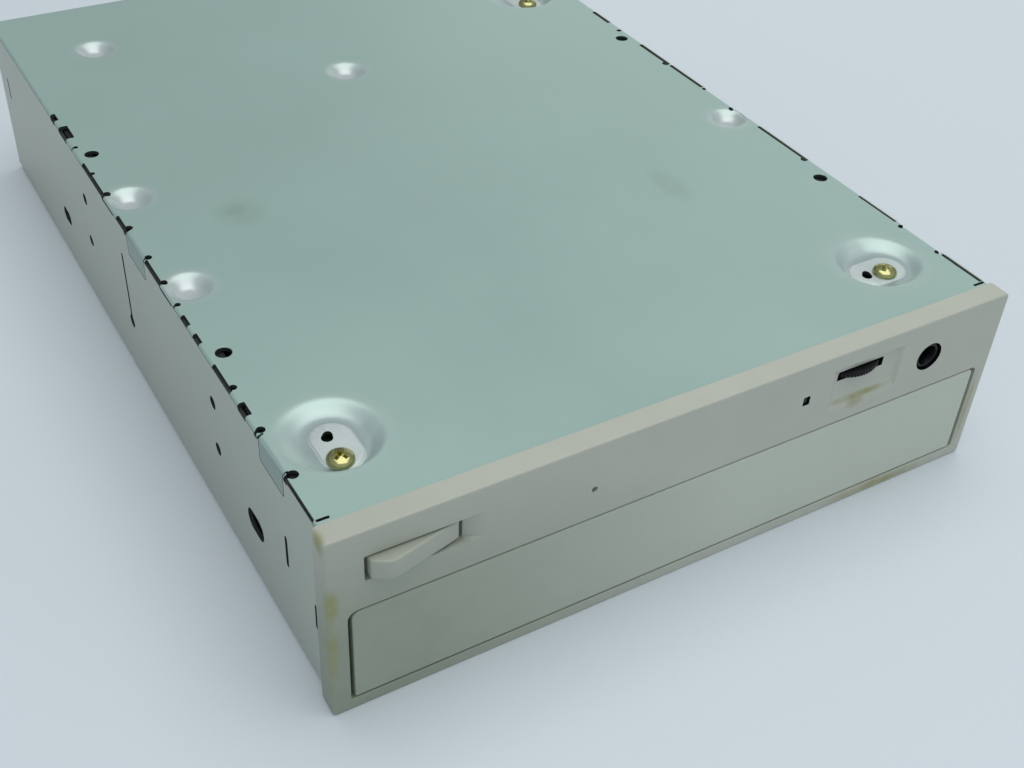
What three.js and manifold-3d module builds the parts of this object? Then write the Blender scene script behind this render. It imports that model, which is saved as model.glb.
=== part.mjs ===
import * as THREE from 'three';
import { mergeVertices } from 'three/addons/utils/BufferGeometryUtils.js';
import Module from 'manifold-3d';

const wasm = await Module();
wasm.setup();

// An internal optical disc drive for a half-height 5.25 inch bay, lying on its top
// cover with its underside up, as it was photographed. Sizes are in millimetres.
// X runs across the front, Y runs back from the bezel's rear face and Z is up from
// the bezel's lower edge. The last lines move the origin under the middle of the box.

// Clearances
const seat = 0.3;
const running = 0.4;
const overrun = 1;

// Bay size, case and bezel
const body = { width: 146, height: 41.3, depth: 203, sheet: 0.8 };
const bezel = { lip: 1, rim: 0.35, thick: 4.5, edge: 0.5, corner: 0.9 };
const mount = { first: 48, pitch: 79.25, inset: 3.15, high: 10, low: 21.84, drill: 3.2 };

// Tray door and the tray behind it
const door = { side: 3.8, low: 3, high: 24.2, thick: 2.4, edge: 0.4, corner: 1, sideGap: 0.7 };
const disc = { centre: 70, radiusShare: 60 / 146, thick: 1.2, small: 40, play: 0.8, clear: 0.5 };
const tray = {
  side: 5.7, low: 9, thick: 5.2, behind: 27, stay: 38,
  dish: 2.6, innerDish: 1.2, slotHalf: 19, wall: 2.4, wallSide: 4.2, wallInset: 0.8,
  tongue: 4.6, tongueRise: 1.3, tongueThick: 3, tongueFront: 6,
  gusset: 9, gussetThick: 2, gussetSide: 6.5,
};

// Moulded frame that everything is fixed to
const frame = {
  wall: 2.4, front: 1, rearGap: 2.1, ledge: 4.2, ledgeThick: 2.4,
  deck: 26.2, deckThick: 1.6, beam: 35, beamThick: 3.3, beamLow: 18.3,
  rearBeam: 25, rearBeamThick: 3, rearBeamLow: 17, boardLedge: 3.5, boardLedgeThick: 2,
  post: 3.6, boss: 2.5,
};

// Circuit boards, just under the underside plate
const board = { drop: 4.65, thick: 1.2, side: 3.7, front: 44, behind: 2.5 };
const frontBoard = { side: 6.2, front: 2, rear: 33 };
const chip = { tall: 1.8, size: 20, second: 12 };

// Underside plate: screw recesses, dimples, folded tabs and edge notches
const recess = { radius: 9.3, depth: 1.5, land: 3.8, landRun: 2.5, pilot: 1.5 };
const frontLeft = { turn: -1, side: 10.2, y: 13.5, land: [0.8, 3.7], centre: [0.7, 5.7], pilot: [0.3, 6.1] };
const frontRight = { turn: 1, side: 15, y: 14, land: [-0.7, 1.2], centre: [0.5, 2.6], pilot: [-4.1, 0.8] };
const rearRight = {
  turn: 1, side: 13.4, yShare: 158.1 / 203, land: [0.3, 3.2], centre: [0.4, 5], pilot: [0.3, 5.7],
};
const screw = {
  head: 2.45, headTall: 1.5, shank: 1.3, length: 8, cross: 0.8, crossWide: 3, crossDeep: 0.9,
};
const screwTurn = 30;
const dimple = { radius: 4.9, tip: 2.1, depth: 2 };
const freeDimpleShares = [[-0.37, 0.874], [-0.02, 0.692]];
const edgeDimpleShares = [[-0.468, 0.522], [-0.468, 0.347], [0.468, 0.392]];
const tab = { drop: 5.3, relief: 0.9, front: 13.9, frontLong: 10.1, midShare: 83.4 / 203, midLong: 10.6 };
const notchDepth = 1;
const leftNotchShares = [
  [0.718, 0.7355], [0.673, 0.702], [0.647, 0.653], [0.539, 0.612], [0.478, 0.499], [0.363, 0.402],
  [0.32, 0.3255], [0.288, 0.305], [0.258, 0.273], [0.182, 0.212], [0.146, 0.1645],
];
const rightNotchShares = [
  [0.673, 0.711], [0.645, 0.65], [0.539, 0.6], [0.478, 0.499], [0.273, 0.36], [0.008, 0.061],
];

// Openings in the side walls
const slit = { y: 101, low: 15.3, high: 32.8, wide: 0.9, foot: 1.1 };
const frontSlot = { y: 14.7, low: 18.9, high: 26.3, wide: 1.1 };
const frontOval = { y: 30, z: 15.5, run: 1.5, radius: 2.5 };
const rearOval = { behind: 53, z: 14, run: 1.2, radius: 1.8 };
const rearSlit = { behind: 8, low: 24, high: 30, wide: 0.9 };
const clip = { low: 15.3, high: 20.3, long: 9, thick: 1.5, nose: 1.2 };

// Controls on the bezel
const button = {
  side: 7.3, long: 17.2, drop: 10.35, tall: 4.4, proud: 3, sunk: 1, nose: 5.5, corner: 1.4,
  travel: 1.5, flange: 1, flangeThick: 1.2, stem: 1.6, stemLong: 2.2, stemIn: 8.7,
  gap: 0.6, gapUp: 0.45,
};
const buttonScoop = { run: 4.7, depth: 2 };
const releaseHole = { xShare: -23.3 / 146, drop: 10.15, radius: 0.6 };
const light = { side: 50.4, drop: 8.25, wide: 1.4, tall: 1.8, play: 0.25, sunk: 0.4, can: 3.4, canDeep: 4 };
const wheel = { side: 37.1, y: 2.8, radius: 8, drop: 6.35, thick: 1.4, ribs: 36, rib: 0.25, bore: 1.8 };
const wheelScoop = { left: 7.2, right: 10.4, below: 7.9, above: 3.5, depth: 1.2, slope: 1.2, sill: 3.6 };
const pot = { halfWidth: 6, front: 1, tall: 4, leg: 1.2, shaft: 1.5 };
const jack = { side: 19, drop: 8.85, half: 4.3, tall: 3.9, deep: 9.3, nose: 2.85, bore: 1.8, back: 1 };
const eject = { half: 2.8, deep: 3, knob: 1.2 };

// Loading train: motor, belt, pulley, gears and cam slider
const trayGear = {
  side: 23.5, y: 23, teeth: 20, module: 1, face: 3, wheelTeeth: 36, wheelLow: 21, wheelThick: 2.2,
};
const pulleyGear = { teeth: 12, module: 0.6, angleShare: 195 / 360, groove: 11.2, rim: 12.4 };
const pulley = { low: 23.9, thick: 2, groove: 2.6, rim: 3.8 };
const loadingMotor = { step: 38, y: 19, radius: 10, tall: 8.4, shaft: 0.75, shaftUp: 5, eye: 3 };
const belt = 1.2;
const pin = 1.5;
const rack = { wide: 5, rise: 3.5, lead: 6 };
const slider = { left: -36, right: 30, low: 18.6, high: 33.5, thick: 3, travel: 20, slotRun: 2.5 };
const lift = {
  side: 15.5, rail: 6, front: 44, bar: 5, behind: 30, rearBar: 10, low: 21, thick: 3.5,
  pivotIn: 3, stub: 2, stubReach: 8, padDeep: 12, padWide: 15, drop: 6.856,
};
const bearing = { gap: 3, half: 5, low: 18, high: 28 };

// Mechanism that reads the disc
const traverse = { side: 7, front: 50, behind: 15, low: 17.6, thick: 1.2, window: 20, rim: 10 };
const damper = {
  side: 11, frontIn: 5.5, rearIn: 6, foot: 3.4, footTall: 1.6, neck: 2.2, cap: 3.2, capTall: 1, eye: 1,
};
const spindle = { radius: 12.5, tall: 8, boss: 4, bossRise: 3.4, shaft: 1 };
const turntable = { radius: 14.5, thick: 1.5, hub: 7.3, hubTip: 6, hubTall: 2.6, neck: 3.5 };
const clamp = { flange: 14, flangeThick: 1, body: 11.8, hollow: 7.9, hollowDeep: 2.4, rest: 0.1 };
const bridge = { side: 0.5, reach: 14, low: 3, thick: 1.2, flute: 8 };
const sled = {
  lens: 24, spare: 1.5, half: 16, front: 9, rear: 18, low: 15.3, high: 25,
  armSide: 20, armFront: 8, armRear: 16, armThick: 4.6,
};
const lensHolder = { half: 10, front: 8, rear: 8, thick: 3.6, travel: 0.4 };
const lens = { radius: 3, thick: 1.6, dome: 0.5 };
const rod = { side: 4, radius: 1.5, z: 21.5, front: 13, rearIn: 0.5 };
const lug = { half: 2.6, thick: 1.5, deep: 5.6 };
const sledGear = { teeth: 24, module: 0.6, yShare: 110 / 203, thick: 2.5, low: 20 };
const sledRack = { root: 1.6, lead: 2.5, behind: 2 };
const sledMotor = { teeth: 10, radius: 5.5, tall: 10, shaft: 0.6 };

// Connectors at the rear
const dataSize = { wide: 58, tall: 9, deep: 10.6, wall: 1.3, floor: 2.2, key: 4.4, pins: 20, rows: 2 };
const powerSize = { wide: 20.8, tall: 10.8, deep: 10.6, wall: 1.3, floor: 2.6, pins: 4, radius: 1.05 };
const audioSize = { wide: 12.6, tall: 6.6, deep: 8.6, wall: 1, floor: 1.8, pins: 4 };
const jumperSize = { wide: 7.6, tall: 5.1, deep: 2.5, pins: 3, rows: 2 };
// Shares of the free width left of the audio, jumper, data and power sockets
const portGapShares = [17.2 / 40, 7.9 / 40, 11.2 / 40, 2.6 / 40];
const pinPitch = 2.54;
const pinHalf = 0.32;
const powerPitch = 5.08;
const pinShare = 0.7;

// Flat ribbon between the two boards
const ribbon = { half: 10, xShare: -26 / 146, thick: 0.4, sag: 0.7, foot: 4 };

// Numbers of sides on round shapes
const fine = 36;
const coarse = 18;
const small = 10;

// Levels and places that several pieces share
const caseLow = bezel.rim;
const caseHigh = caseLow + body.height;
const bezelHigh = caseHigh + bezel.rim;
const wallOuter = body.width / 2;
const wallInner = wallOuter - body.sheet;
const floorTop = caseLow + body.sheet;
const plateLow = caseHigh - body.sheet;
const plateHalf = wallInner - seat;
const recessFloor = caseHigh - recess.depth;
const recessUnder = recessFloor - body.sheet;
const frameOuter = wallInner - seat;
const frameInner = frameOuter - frame.wall;
const frameRear = body.depth - body.sheet - frame.rearGap;
const frameTop = plateLow - seat;
const postTop = recessUnder - seat;
const dimpleUnder = caseHigh - dimple.depth - body.sheet;
const deckTop = frame.deck + frame.deckThick;
const boardLow = caseHigh - board.drop;
const boardTop = boardLow + board.thick;
const boardSeat = boardLow - seat;
const trayHigh = tray.low + tray.thick;
const tongueLow = tray.low + tray.tongueRise;
const tongueHigh = tongueLow + tray.tongueThick;
const dishFloor = tray.low + tray.dish;
const innerDishFloor = dishFloor + tray.innerDish;
const bezelFront = -bezel.thick;
const doorRear = bezelFront + door.thick;
const midTab = tab.midShare * body.depth;
const tabs = [[tab.front, tab.front + tab.frontLong], [midTab, midTab + tab.midLong]];

// Half widths and places across, each taken from the part that it lies in
const bezelHalf = wallOuter + bezel.lip;
const doorHalf = bezelHalf - door.side;
const discRadius = disc.radiusShare * body.width;
const trayHalf = doorHalf - tray.side;
const trayWallHalf = doorHalf - tray.wallSide;
const gussetX = trayHalf - tray.gussetSide;
const trayGearX = trayHalf - trayGear.side;
const loadingMotorX = trayGearX - loadingMotor.step;
const bridgeHalf = frameOuter - bridge.side;
const boardHalf = wallInner - board.side;
const frontBoardHalf = wallInner - frontBoard.side;
const liftHalf = frameInner - lift.side;
const liftInner = liftHalf - lift.rail;
const padInner = liftHalf - lift.padWide;
const damperX = liftHalf - damper.side;
const bearingInner = liftHalf + bearing.gap;
const traverseHalf = liftHalf - traverse.side;
const armHalf = traverseHalf - sled.armSide;
const rodX = armHalf - rod.side;
const buttonLeft = button.side - bezelHalf;
const buttonRight = buttonLeft + button.long;
const stemX = buttonLeft + button.stemIn;
const releaseX = releaseHole.xShare * body.width;
const lightX = bezelHalf - light.side;
const wheelX = bezelHalf - wheel.side;
const jackX = bezelHalf - jack.side;
const ribbonX = ribbon.xShare * body.width;

// Levels of the controls, which hang from the underside plate with their board
const buttonLow = caseHigh - button.drop;
const buttonHigh = buttonLow + button.tall;
const releaseZ = caseHigh - releaseHole.drop;
const lightZ = caseHigh - light.drop;
const wheelLow = caseHigh - wheel.drop;
const jackZ = caseHigh - jack.drop;

// Places along the depth that move with the rear wall
const trayRear = body.depth - tray.behind;
const trayTravel = trayRear - tray.stay;
const rearBeamY = body.depth - frame.rearBeam;
const boardRear = body.depth - board.behind;
const liftRear = body.depth - lift.behind;
const liftRearInner = liftRear - lift.rearBar;
const pivotY = liftRear - lift.pivotIn;
const traverseRear = liftRear - traverse.behind;
const windowRear = traverseRear - traverse.rim;
const damperFront = traverse.front + damper.frontIn;
const damperRear = traverseRear - damper.rearIn;
const rodFront = disc.centre + rod.front;
const rodRear = windowRear - rod.rearIn;
const sledY = disc.centre + sled.lens;
const sledTravel = rodRear - sledY - sled.rear - sled.spare;
const sledGearY = sledGear.yShare * body.depth;

// Where a plate screw, the flat land beside it and the middle of its recess are
function screwPlace({ turn, side, y, land, centre, pilot }) {
  const x = turn * (wallOuter - side);
  return {
    x, y,
    landX: x + land[0], landY: y + land[1],
    centreX: x + centre[0], centreY: y + centre[1],
    pilotX: x + pilot[0], pilotY: y + pilot[1],
  };
}
const frontLeftScrew = screwPlace(frontLeft);
const frontRightScrew = screwPlace(frontRight);
const rearRightScrew = screwPlace({ ...rearRight, y: rearRight.yShare * body.depth });
const plateScrews = [frontLeftScrew, frontRightScrew, rearRightScrew];

// Sockets from left to right inside the main frame, with shares of the free width between
function rowOfPorts(sizes, shares) {
  const free = sizes.reduce((rest, { wide }) => rest - wide, frameInner * 2);
  let edge = -frameInner;
  return sizes.map((size, i) => {
    const start = edge + shares[i] * free;
    edge = start + size.wide;
    return { ...size, x: start + size.wide / 2 };
  });
}
const [audioPort, jumper, dataPort, powerPort] = rowOfPorts(
  [audioSize, jumperSize, dataSize, powerSize], portGapShares);

// Turns a closed geometry into a solid that can be joined and cut
function toSolid(geometry) {
  const bare = geometry.clone();
  bare.deleteAttribute('normal');
  bare.deleteAttribute('uv');
  const welded = mergeVertices(bare);
  const corners = [];
  for (let i = 0; i < welded.index.count; i += 3) {
    const [a, b, c] = [welded.index.getX(i), welded.index.getX(i + 1), welded.index.getX(i + 2)];
    if (a !== b && b !== c && c !== a) corners.push(a, b, c);
  }
  return new wasm.Manifold(new wasm.Mesh({
    numProp: 3,
    vertProperties: new Float32Array(welded.attributes.position.array),
    triVerts: new Uint32Array(corners),
  }));
}

// Box from three pairs of limits
function block([x0, x1], [y0, y1], [z0, z1]) {
  const geometry = new THREE.BoxGeometry(x1 - x0, y1 - y0, z1 - z0);
  geometry.translate((x0 + x1) / 2, (y0 + y1) / 2, (z0 + z1) / 2);
  return toSolid(geometry);
}

// Two boxes, one on each side of the middle
function pair([x0, x1], y, z) {
  return block([x0, x1], y, z).add(block([-x1, -x0], y, z));
}

// Round bars along Z, Y and X
function post(x, y, [z0, z1], radius, sides = coarse) {
  const geometry = new THREE.CylinderGeometry(radius, radius, z1 - z0, sides);
  geometry.rotateX(Math.PI / 2);
  geometry.translate(x, y, (z0 + z1) / 2);
  return toSolid(geometry);
}

function barY(x, [y0, y1], z, radius, sides = coarse) {
  const geometry = new THREE.CylinderGeometry(radius, radius, y1 - y0, sides);
  geometry.translate(x, (y0 + y1) / 2, z);
  return toSolid(geometry);
}

function barX([x0, x1], y, z, radius, sides = coarse) {
  const geometry = new THREE.CylinderGeometry(radius, radius, x1 - x0, sides);
  geometry.rotateZ(Math.PI / 2);
  geometry.translate((x0 + x1) / 2, y, z);
  return toSolid(geometry);
}

// Outline in X and Y raised along Z
function slab(shape, [z0, z1], sides = small) {
  const options = { depth: z1 - z0, bevelEnabled: false, curveSegments: sides };
  const geometry = new THREE.ExtrudeGeometry(shape, options);
  geometry.translate(0, 0, z0);
  return toSolid(geometry);
}

// Outline in X and Z carried along Y
function slabY(shape, [y0, y1], sides = small) {
  const options = { depth: y1 - y0, bevelEnabled: false, curveSegments: sides };
  const geometry = new THREE.ExtrudeGeometry(shape, options);
  geometry.rotateX(Math.PI / 2);
  geometry.translate(0, y1, 0);
  return toSolid(geometry);
}

// Outline in Y and Z carried along X
function slabX(shape, [x0, x1], sides = small) {
  const options = { depth: x1 - x0, bevelEnabled: false, curveSegments: sides };
  const geometry = new THREE.ExtrudeGeometry(shape, options);
  const turn = new THREE.Matrix4().makeBasis(
    new THREE.Vector3(0, 1, 0), new THREE.Vector3(0, 0, 1), new THREE.Vector3(1, 0, 0));
  geometry.applyMatrix4(turn);
  geometry.translate(x0, 0, 0);
  return toSolid(geometry);
}

// Profile of radius and height turned about an upright axis at x, y
function turned(profile, x, y, sides = fine) {
  const points = profile.map(([radius, height]) => new THREE.Vector2(radius, height));
  const geometry = new THREE.LatheGeometry(points, sides);
  geometry.rotateX(Math.PI / 2);
  geometry.translate(x, y, 0);
  return toSolid(geometry);
}

// Solid through rings of equal count, each given as points and a level
function loftGeometry(rings) {
  const count = rings[0].points.length;
  const places = rings.flatMap(({ points, level }) => points.flatMap(([a, b]) => [a, b, level]));
  const faces = [];
  for (let ring = 0; ring + 1 < rings.length; ring += 1) {
    for (let i = 0; i < count; i += 1) {
      const next = (i + 1) % count;
      const [a, b] = [ring * count + i, ring * count + next];
      faces.push(a, b, b + count, a, b + count, a + count);
    }
  }
  const top = (rings.length - 1) * count;
  for (let i = 1; i + 1 < count; i += 1) {
    faces.push(0, i + 1, i);
    faces.push(top, top + i, top + i + 1);
  }
  const geometry = new THREE.BufferGeometry();
  geometry.setAttribute('position', new THREE.Float32BufferAttribute(places, 3));
  geometry.setIndex(faces);
  return geometry;
}

function loft(rings) {
  return toSolid(loftGeometry(rings));
}

// The same, with levels counted forward from the bezel's rear face
function loftForward(rings) {
  const geometry = loftGeometry(rings);
  geometry.rotateX(Math.PI / 2);
  return toSolid(geometry);
}

// Ring of points round a stadium: a straight run along X or Y with round ends
function stadium(x, y, radius, run, alongX, count = coarse) {
  return Array.from({ length: count }, (_, i) => {
    const angle = (i + 1 / 2) / count * 2 * Math.PI;
    const [c, s] = [Math.cos(angle), Math.sin(angle)];
    const shiftX = alongX ? Math.sign(c) * run : 0;
    const shiftY = alongX ? 0 : Math.sign(s) * run;
    return [x + radius * c + shiftX, y + radius * s + shiftY];
  });
}

// Ring of points round a rectangle with rounded corners
function roundedRing([x0, x1], [z0, z1], radius, steps = 4) {
  const [left, right, low, high] = [x0 + radius, x1 - radius, z0 + radius, z1 - radius];
  const middles = [[right, high], [left, high], [left, low], [right, low]];
  return middles.flatMap(([x, z], corner) => Array.from({ length: steps + 1 }, (_, i) => {
    const angle = (corner + i / steps) * Math.PI / 2;
    return [x + radius * Math.cos(angle), z + radius * Math.sin(angle)];
  }));
}

function polygon(points) {
  return new THREE.Shape(points.map(([a, b]) => new THREE.Vector2(a, b)));
}

// Spur wheel outline with straight-flanked teeth. The tooth numbered 0 points at phase.
const addendumShare = 0.9;
const dedendumShare = 1.2;
const tipHalfShare = 0.24;
const rootHalfShare = 0.9;
function gearShape(teeth, module, phase) {
  const tip = module * (teeth / 2 + addendumShare);
  const root = module * (teeth / 2 - dedendumShare);
  const points = [];
  for (let tooth = 0; tooth < teeth; tooth += 1) {
    const middle = phase + tooth / teeth * 2 * Math.PI;
    const at = (radius, offset) => {
      const angle = middle + offset * module / radius;
      return [radius * Math.cos(angle), radius * Math.sin(angle)];
    };
    points.push(at(root, -rootHalfShare), at(tip, -tipHalfShare));
    points.push(at(tip, tipHalfShare), at(root, rootHalfShare));
  }
  return polygon(points);
}

function gear(x, y, teeth, module, phase, levels) {
  return slab(gearShape(teeth, module, phase), levels).translate([x, y, 0]);
}

// Toothed bar along Y. Teeth stand out from x towards the side that sign gives.
function rackBar(x, y, teeth, module, sign, thick, levels) {
  const pitch = Math.PI * module;
  const tip = x + sign * module * addendumShare;
  const root = x - sign * module * dedendumShare;
  const start = y - pitch / 2;
  const points = [[root - sign * thick, start], [root, start]];
  for (let tooth = 0; tooth < teeth; tooth += 1) {
    const middle = y + tooth * pitch;
    points.push([root, middle - rootHalfShare * module], [tip, middle - tipHalfShare * module]);
    points.push([tip, middle + tipHalfShare * module], [root, middle + rootHalfShare * module]);
  }
  const end = start + teeth * pitch;
  points.push([root, end], [root - sign * thick, end]);
  const ordered = sign > 0 ? points : points.reverse();
  return slab(polygon(ordered), levels);
}

// Materials
function finish(color, roughness, metalness) {
  return new THREE.MeshStandardMaterial({ color, roughness, metalness });
}
const zincPlate = finish('#a9bcb4', 0.42, 0.75);
const zincSide = finish('#949a99', 0.4, 0.8);
const beigePlastic = finish('#c8c4b6', 0.6, 0);
const doorPlastic = finish('#bfc0b4', 0.6, 0);
const goldZinc = finish('#c9b36b', 0.35, 0.9);
const blackPlastic = finish('#1c1c1e', 0.55, 0);
const greyPlastic = finish('#5d6062', 0.6, 0);
const trayPlastic = finish('#3a3c3f', 0.55, 0);
const whitePlastic = finish('#e4e2da', 0.5, 0);
const steel = finish('#b9bcbd', 0.35, 0.95);
const rubber = finish('#26262a', 0.9, 0);
const boardGreen = finish('#2f6b46', 0.5, 0.05);
const glass = finish('#6f7fa0', 0.1, 0);
const amber = finish('#3b3222', 0.3, 0);
const ribbonWhite = finish('#d9d6c8', 0.6, 0);

const drive = new THREE.Group();

function piece(name, solid, material) {
  const mesh = solid.getMesh();
  const geometry = new THREE.BufferGeometry();
  geometry.setAttribute('position', new THREE.Float32BufferAttribute(mesh.vertProperties, 3));
  geometry.setIndex(Array.from(mesh.triVerts));
  geometry.computeVertexNormals();
  const part = new THREE.Mesh(geometry, material);
  part.name = name;
  drive.add(part);
  return part;
}

// Rear connectors: where each one opens through the rear wall
const ports = [dataPort, powerPort, audioPort];
const portLow = (port) => boardSeat - port.tall;

// Top cover: floor, side walls and rear wall in one sheet
function topCover() {
  const wallTop = caseHigh - seat;
  const rearTop = boardSeat;
  const front = seat;
  let cover = block([-wallOuter, wallOuter], [front, body.depth], [caseLow, wallTop]);
  const inside = [-wallInner, wallInner];
  const through = [-wallOuter - overrun, wallOuter + overrun];
  const cavity = [front - overrun, body.depth - body.sheet];
  cover = cover.subtract(block(inside, cavity, [floorTop, wallTop + overrun]));
  cover = cover.subtract(block(inside, [frameRear, body.depth + overrun], [rearTop, wallTop + overrun]));
  for (const port of [...ports, jumper]) {
    const half = port.wide / 2 + running;
    const low = boardSeat - port.tall - running;
    const behind = [frameRear, body.depth + overrun];
    cover = cover.subtract(block([port.x - half, port.x + half], behind, [low, rearTop + overrun]));
  }
  const upright = (y, { low, high, wide }) => block(through, [y - wide / 2, y + wide / 2], [low, high]);
  cover = cover.subtract(upright(slit.y, slit));
  cover = cover.subtract(barX(through, slit.y, slit.low, slit.foot, small));
  cover = cover.subtract(upright(frontSlot.y, frontSlot));
  cover = cover.subtract(upright(body.depth - rearSlit.behind, rearSlit));
  for (const [y, oval] of [[frontOval.y, frontOval], [body.depth - rearOval.behind, rearOval]]) {
    const ring = stadium(y, oval.z, oval.radius, oval.run, true);
    cover = cover.subtract(slabX(polygon(ring), through));
  }
  for (const hole of [mount.first, mount.first + mount.pitch]) {
    for (const drop of [mount.high, mount.low]) {
      cover = cover.subtract(barX(through, hole, caseHigh - drop, mount.drill / 2, coarse));
    }
  }
  const clipUp = [clip.low - running, clip.high + running];
  cover = cover.subtract(block(through, [0, seat + clip.nose + running], clipUp));
  for (const [from, to] of tabs) {
    const reach = [from - running, to + running];
    cover = cover.subtract(block(through, reach, [caseHigh - tab.drop - running, wallTop + overrun]));
  }
  return cover;
}

// Sunken cone that ends in a flat land, given as its hollow and its outside
function recessHollow(at) {
  const alongX = at === frontRightScrew;
  const mouth = stadium(at.centreX, at.centreY, recess.radius, 0, alongX);
  const land = stadium(at.landX, at.landY, recess.land, recess.landRun, alongX);
  const lip = (recess.radius - recess.land) / recess.depth * body.sheet / 2;
  const above = stadium(at.centreX, at.centreY, recess.radius + lip, 0, alongX);
  return loft([
    { points: land, level: recessFloor },
    { points: mouth, level: caseHigh },
    { points: above, level: caseHigh + body.sheet / 2 },
  ]);
}

function recessShell(at) {
  const alongX = at === frontRightScrew;
  const grown = recess.land + body.sheet / 2;
  const land = stadium(at.landX, at.landY, grown, recess.landRun, alongX);
  const mouth = stadium(at.centreX, at.centreY, recess.radius + body.sheet / 2, 0, alongX);
  return loft([
    { points: land, level: recessUnder },
    { points: mouth, level: plateLow + body.sheet / 2 },
  ]);
}

function dimpleCone(x, y, grow, drop) {
  const mouth = stadium(x, y, dimple.radius + grow, 0, true);
  const tip = stadium(x, y, dimple.tip + grow, 0, true);
  const top = caseHigh - drop;
  const rise = body.sheet / 4;
  const slope = (dimple.radius - dimple.tip) / dimple.depth * rise;
  const above = stadium(x, y, dimple.radius + grow + slope, 0, true);
  return loft([
    { points: tip, level: top - dimple.depth },
    { points: mouth, level: top },
    { points: above, level: top + rise },
  ]);
}

const dimples = [...freeDimpleShares, ...edgeDimpleShares]
  .map(([acrossShare, backShare]) => [acrossShare * body.width, backShare * body.depth]);

function undersidePlate() {
  const front = seat;
  let plate = block([-plateHalf, plateHalf], [front, body.depth], [plateLow, caseHigh]);
  for (const at of plateScrews) plate = plate.add(recessShell(at));
  for (const [x, y] of dimples) plate = plate.add(dimpleCone(x, y, body.sheet / 2, body.sheet));
  for (const at of plateScrews) {
    const depth = [recessUnder - overrun, caseHigh];
    plate = plate.subtract(recessHollow(at));
    plate = plate.subtract(post(at.x, at.y, depth, screw.shank + seat, coarse));
    plate = plate.subtract(post(at.pilotX, at.pilotY, depth, recess.pilot, small));
  }
  for (const [x, y] of dimples) plate = plate.subtract(dimpleCone(x, y, 0, 0));
  plate = plate.intersect(block([-plateHalf, plateHalf], [0, body.depth], [0, bezelHigh]));
  const sheetSpan = [plateLow - overrun, caseHigh + overrun];
  for (const hole of [mount.first, mount.first + mount.pitch]) {
    for (const side of [-1, 1]) {
      const across = side * (wallOuter - mount.inset);
      plate = plate.subtract(post(across, hole, sheetSpan, mount.drill / 2, coarse));
    }
  }
  const sides = [[-1, leftNotchShares], [1, rightNotchShares]];
  for (const [side, notchShares] of sides) {
    for (const [startShare, endShare] of notchShares) {
      const reach = [startShare * body.depth, endShare * body.depth];
      const across = [side * (plateHalf - notchDepth), side * (plateHalf + overrun)].sort((a, b) => a - b);
      plate = plate.subtract(block(across, reach, sheetSpan));
    }
  }
  for (const [from, to] of tabs) {
    plate = plate.add(pair([plateHalf - overrun, wallOuter], [from, to], [plateLow, caseHigh]));
    plate = plate.add(pair([wallInner, wallOuter], [from, to], [caseHigh - tab.drop, caseHigh]));
    for (const end of [from, to]) {
      for (const side of [-1, 1]) {
        plate = plate.subtract(post(side * plateHalf, end, sheetSpan, tab.relief, small));
      }
    }
  }
  return plate;
}

// Pan head screw with a cross recess, standing in its recess
function plateScrew(at) {
  const headLow = recessFloor + seat;
  const headHigh = headLow + screw.headTall;
  const shoulder = screw.headTall / 3;
  const tip = headLow - screw.length;
  const solid = turned([
    [0, tip], [screw.shank, tip],
    [screw.shank, headLow], [screw.head, headLow], [screw.head, headLow + shoulder],
    [screw.head - shoulder / 2, headHigh - shoulder / 2], [screw.head / 2, headHigh], [0, headHigh],
  ], at.x, at.y, coarse);
  const deep = [headHigh - screw.crossDeep, headHigh + overrun];
  const wide = [-screw.crossWide / 2, screw.crossWide / 2];
  const thin = [-screw.cross / 2, screw.cross / 2];
  const cross = block(wide, thin, deep).add(block(thin, wide, deep));
  return solid.subtract(cross.rotate([0, 0, screwTurn]).translate([at.x, at.y, 0]));
}

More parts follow.
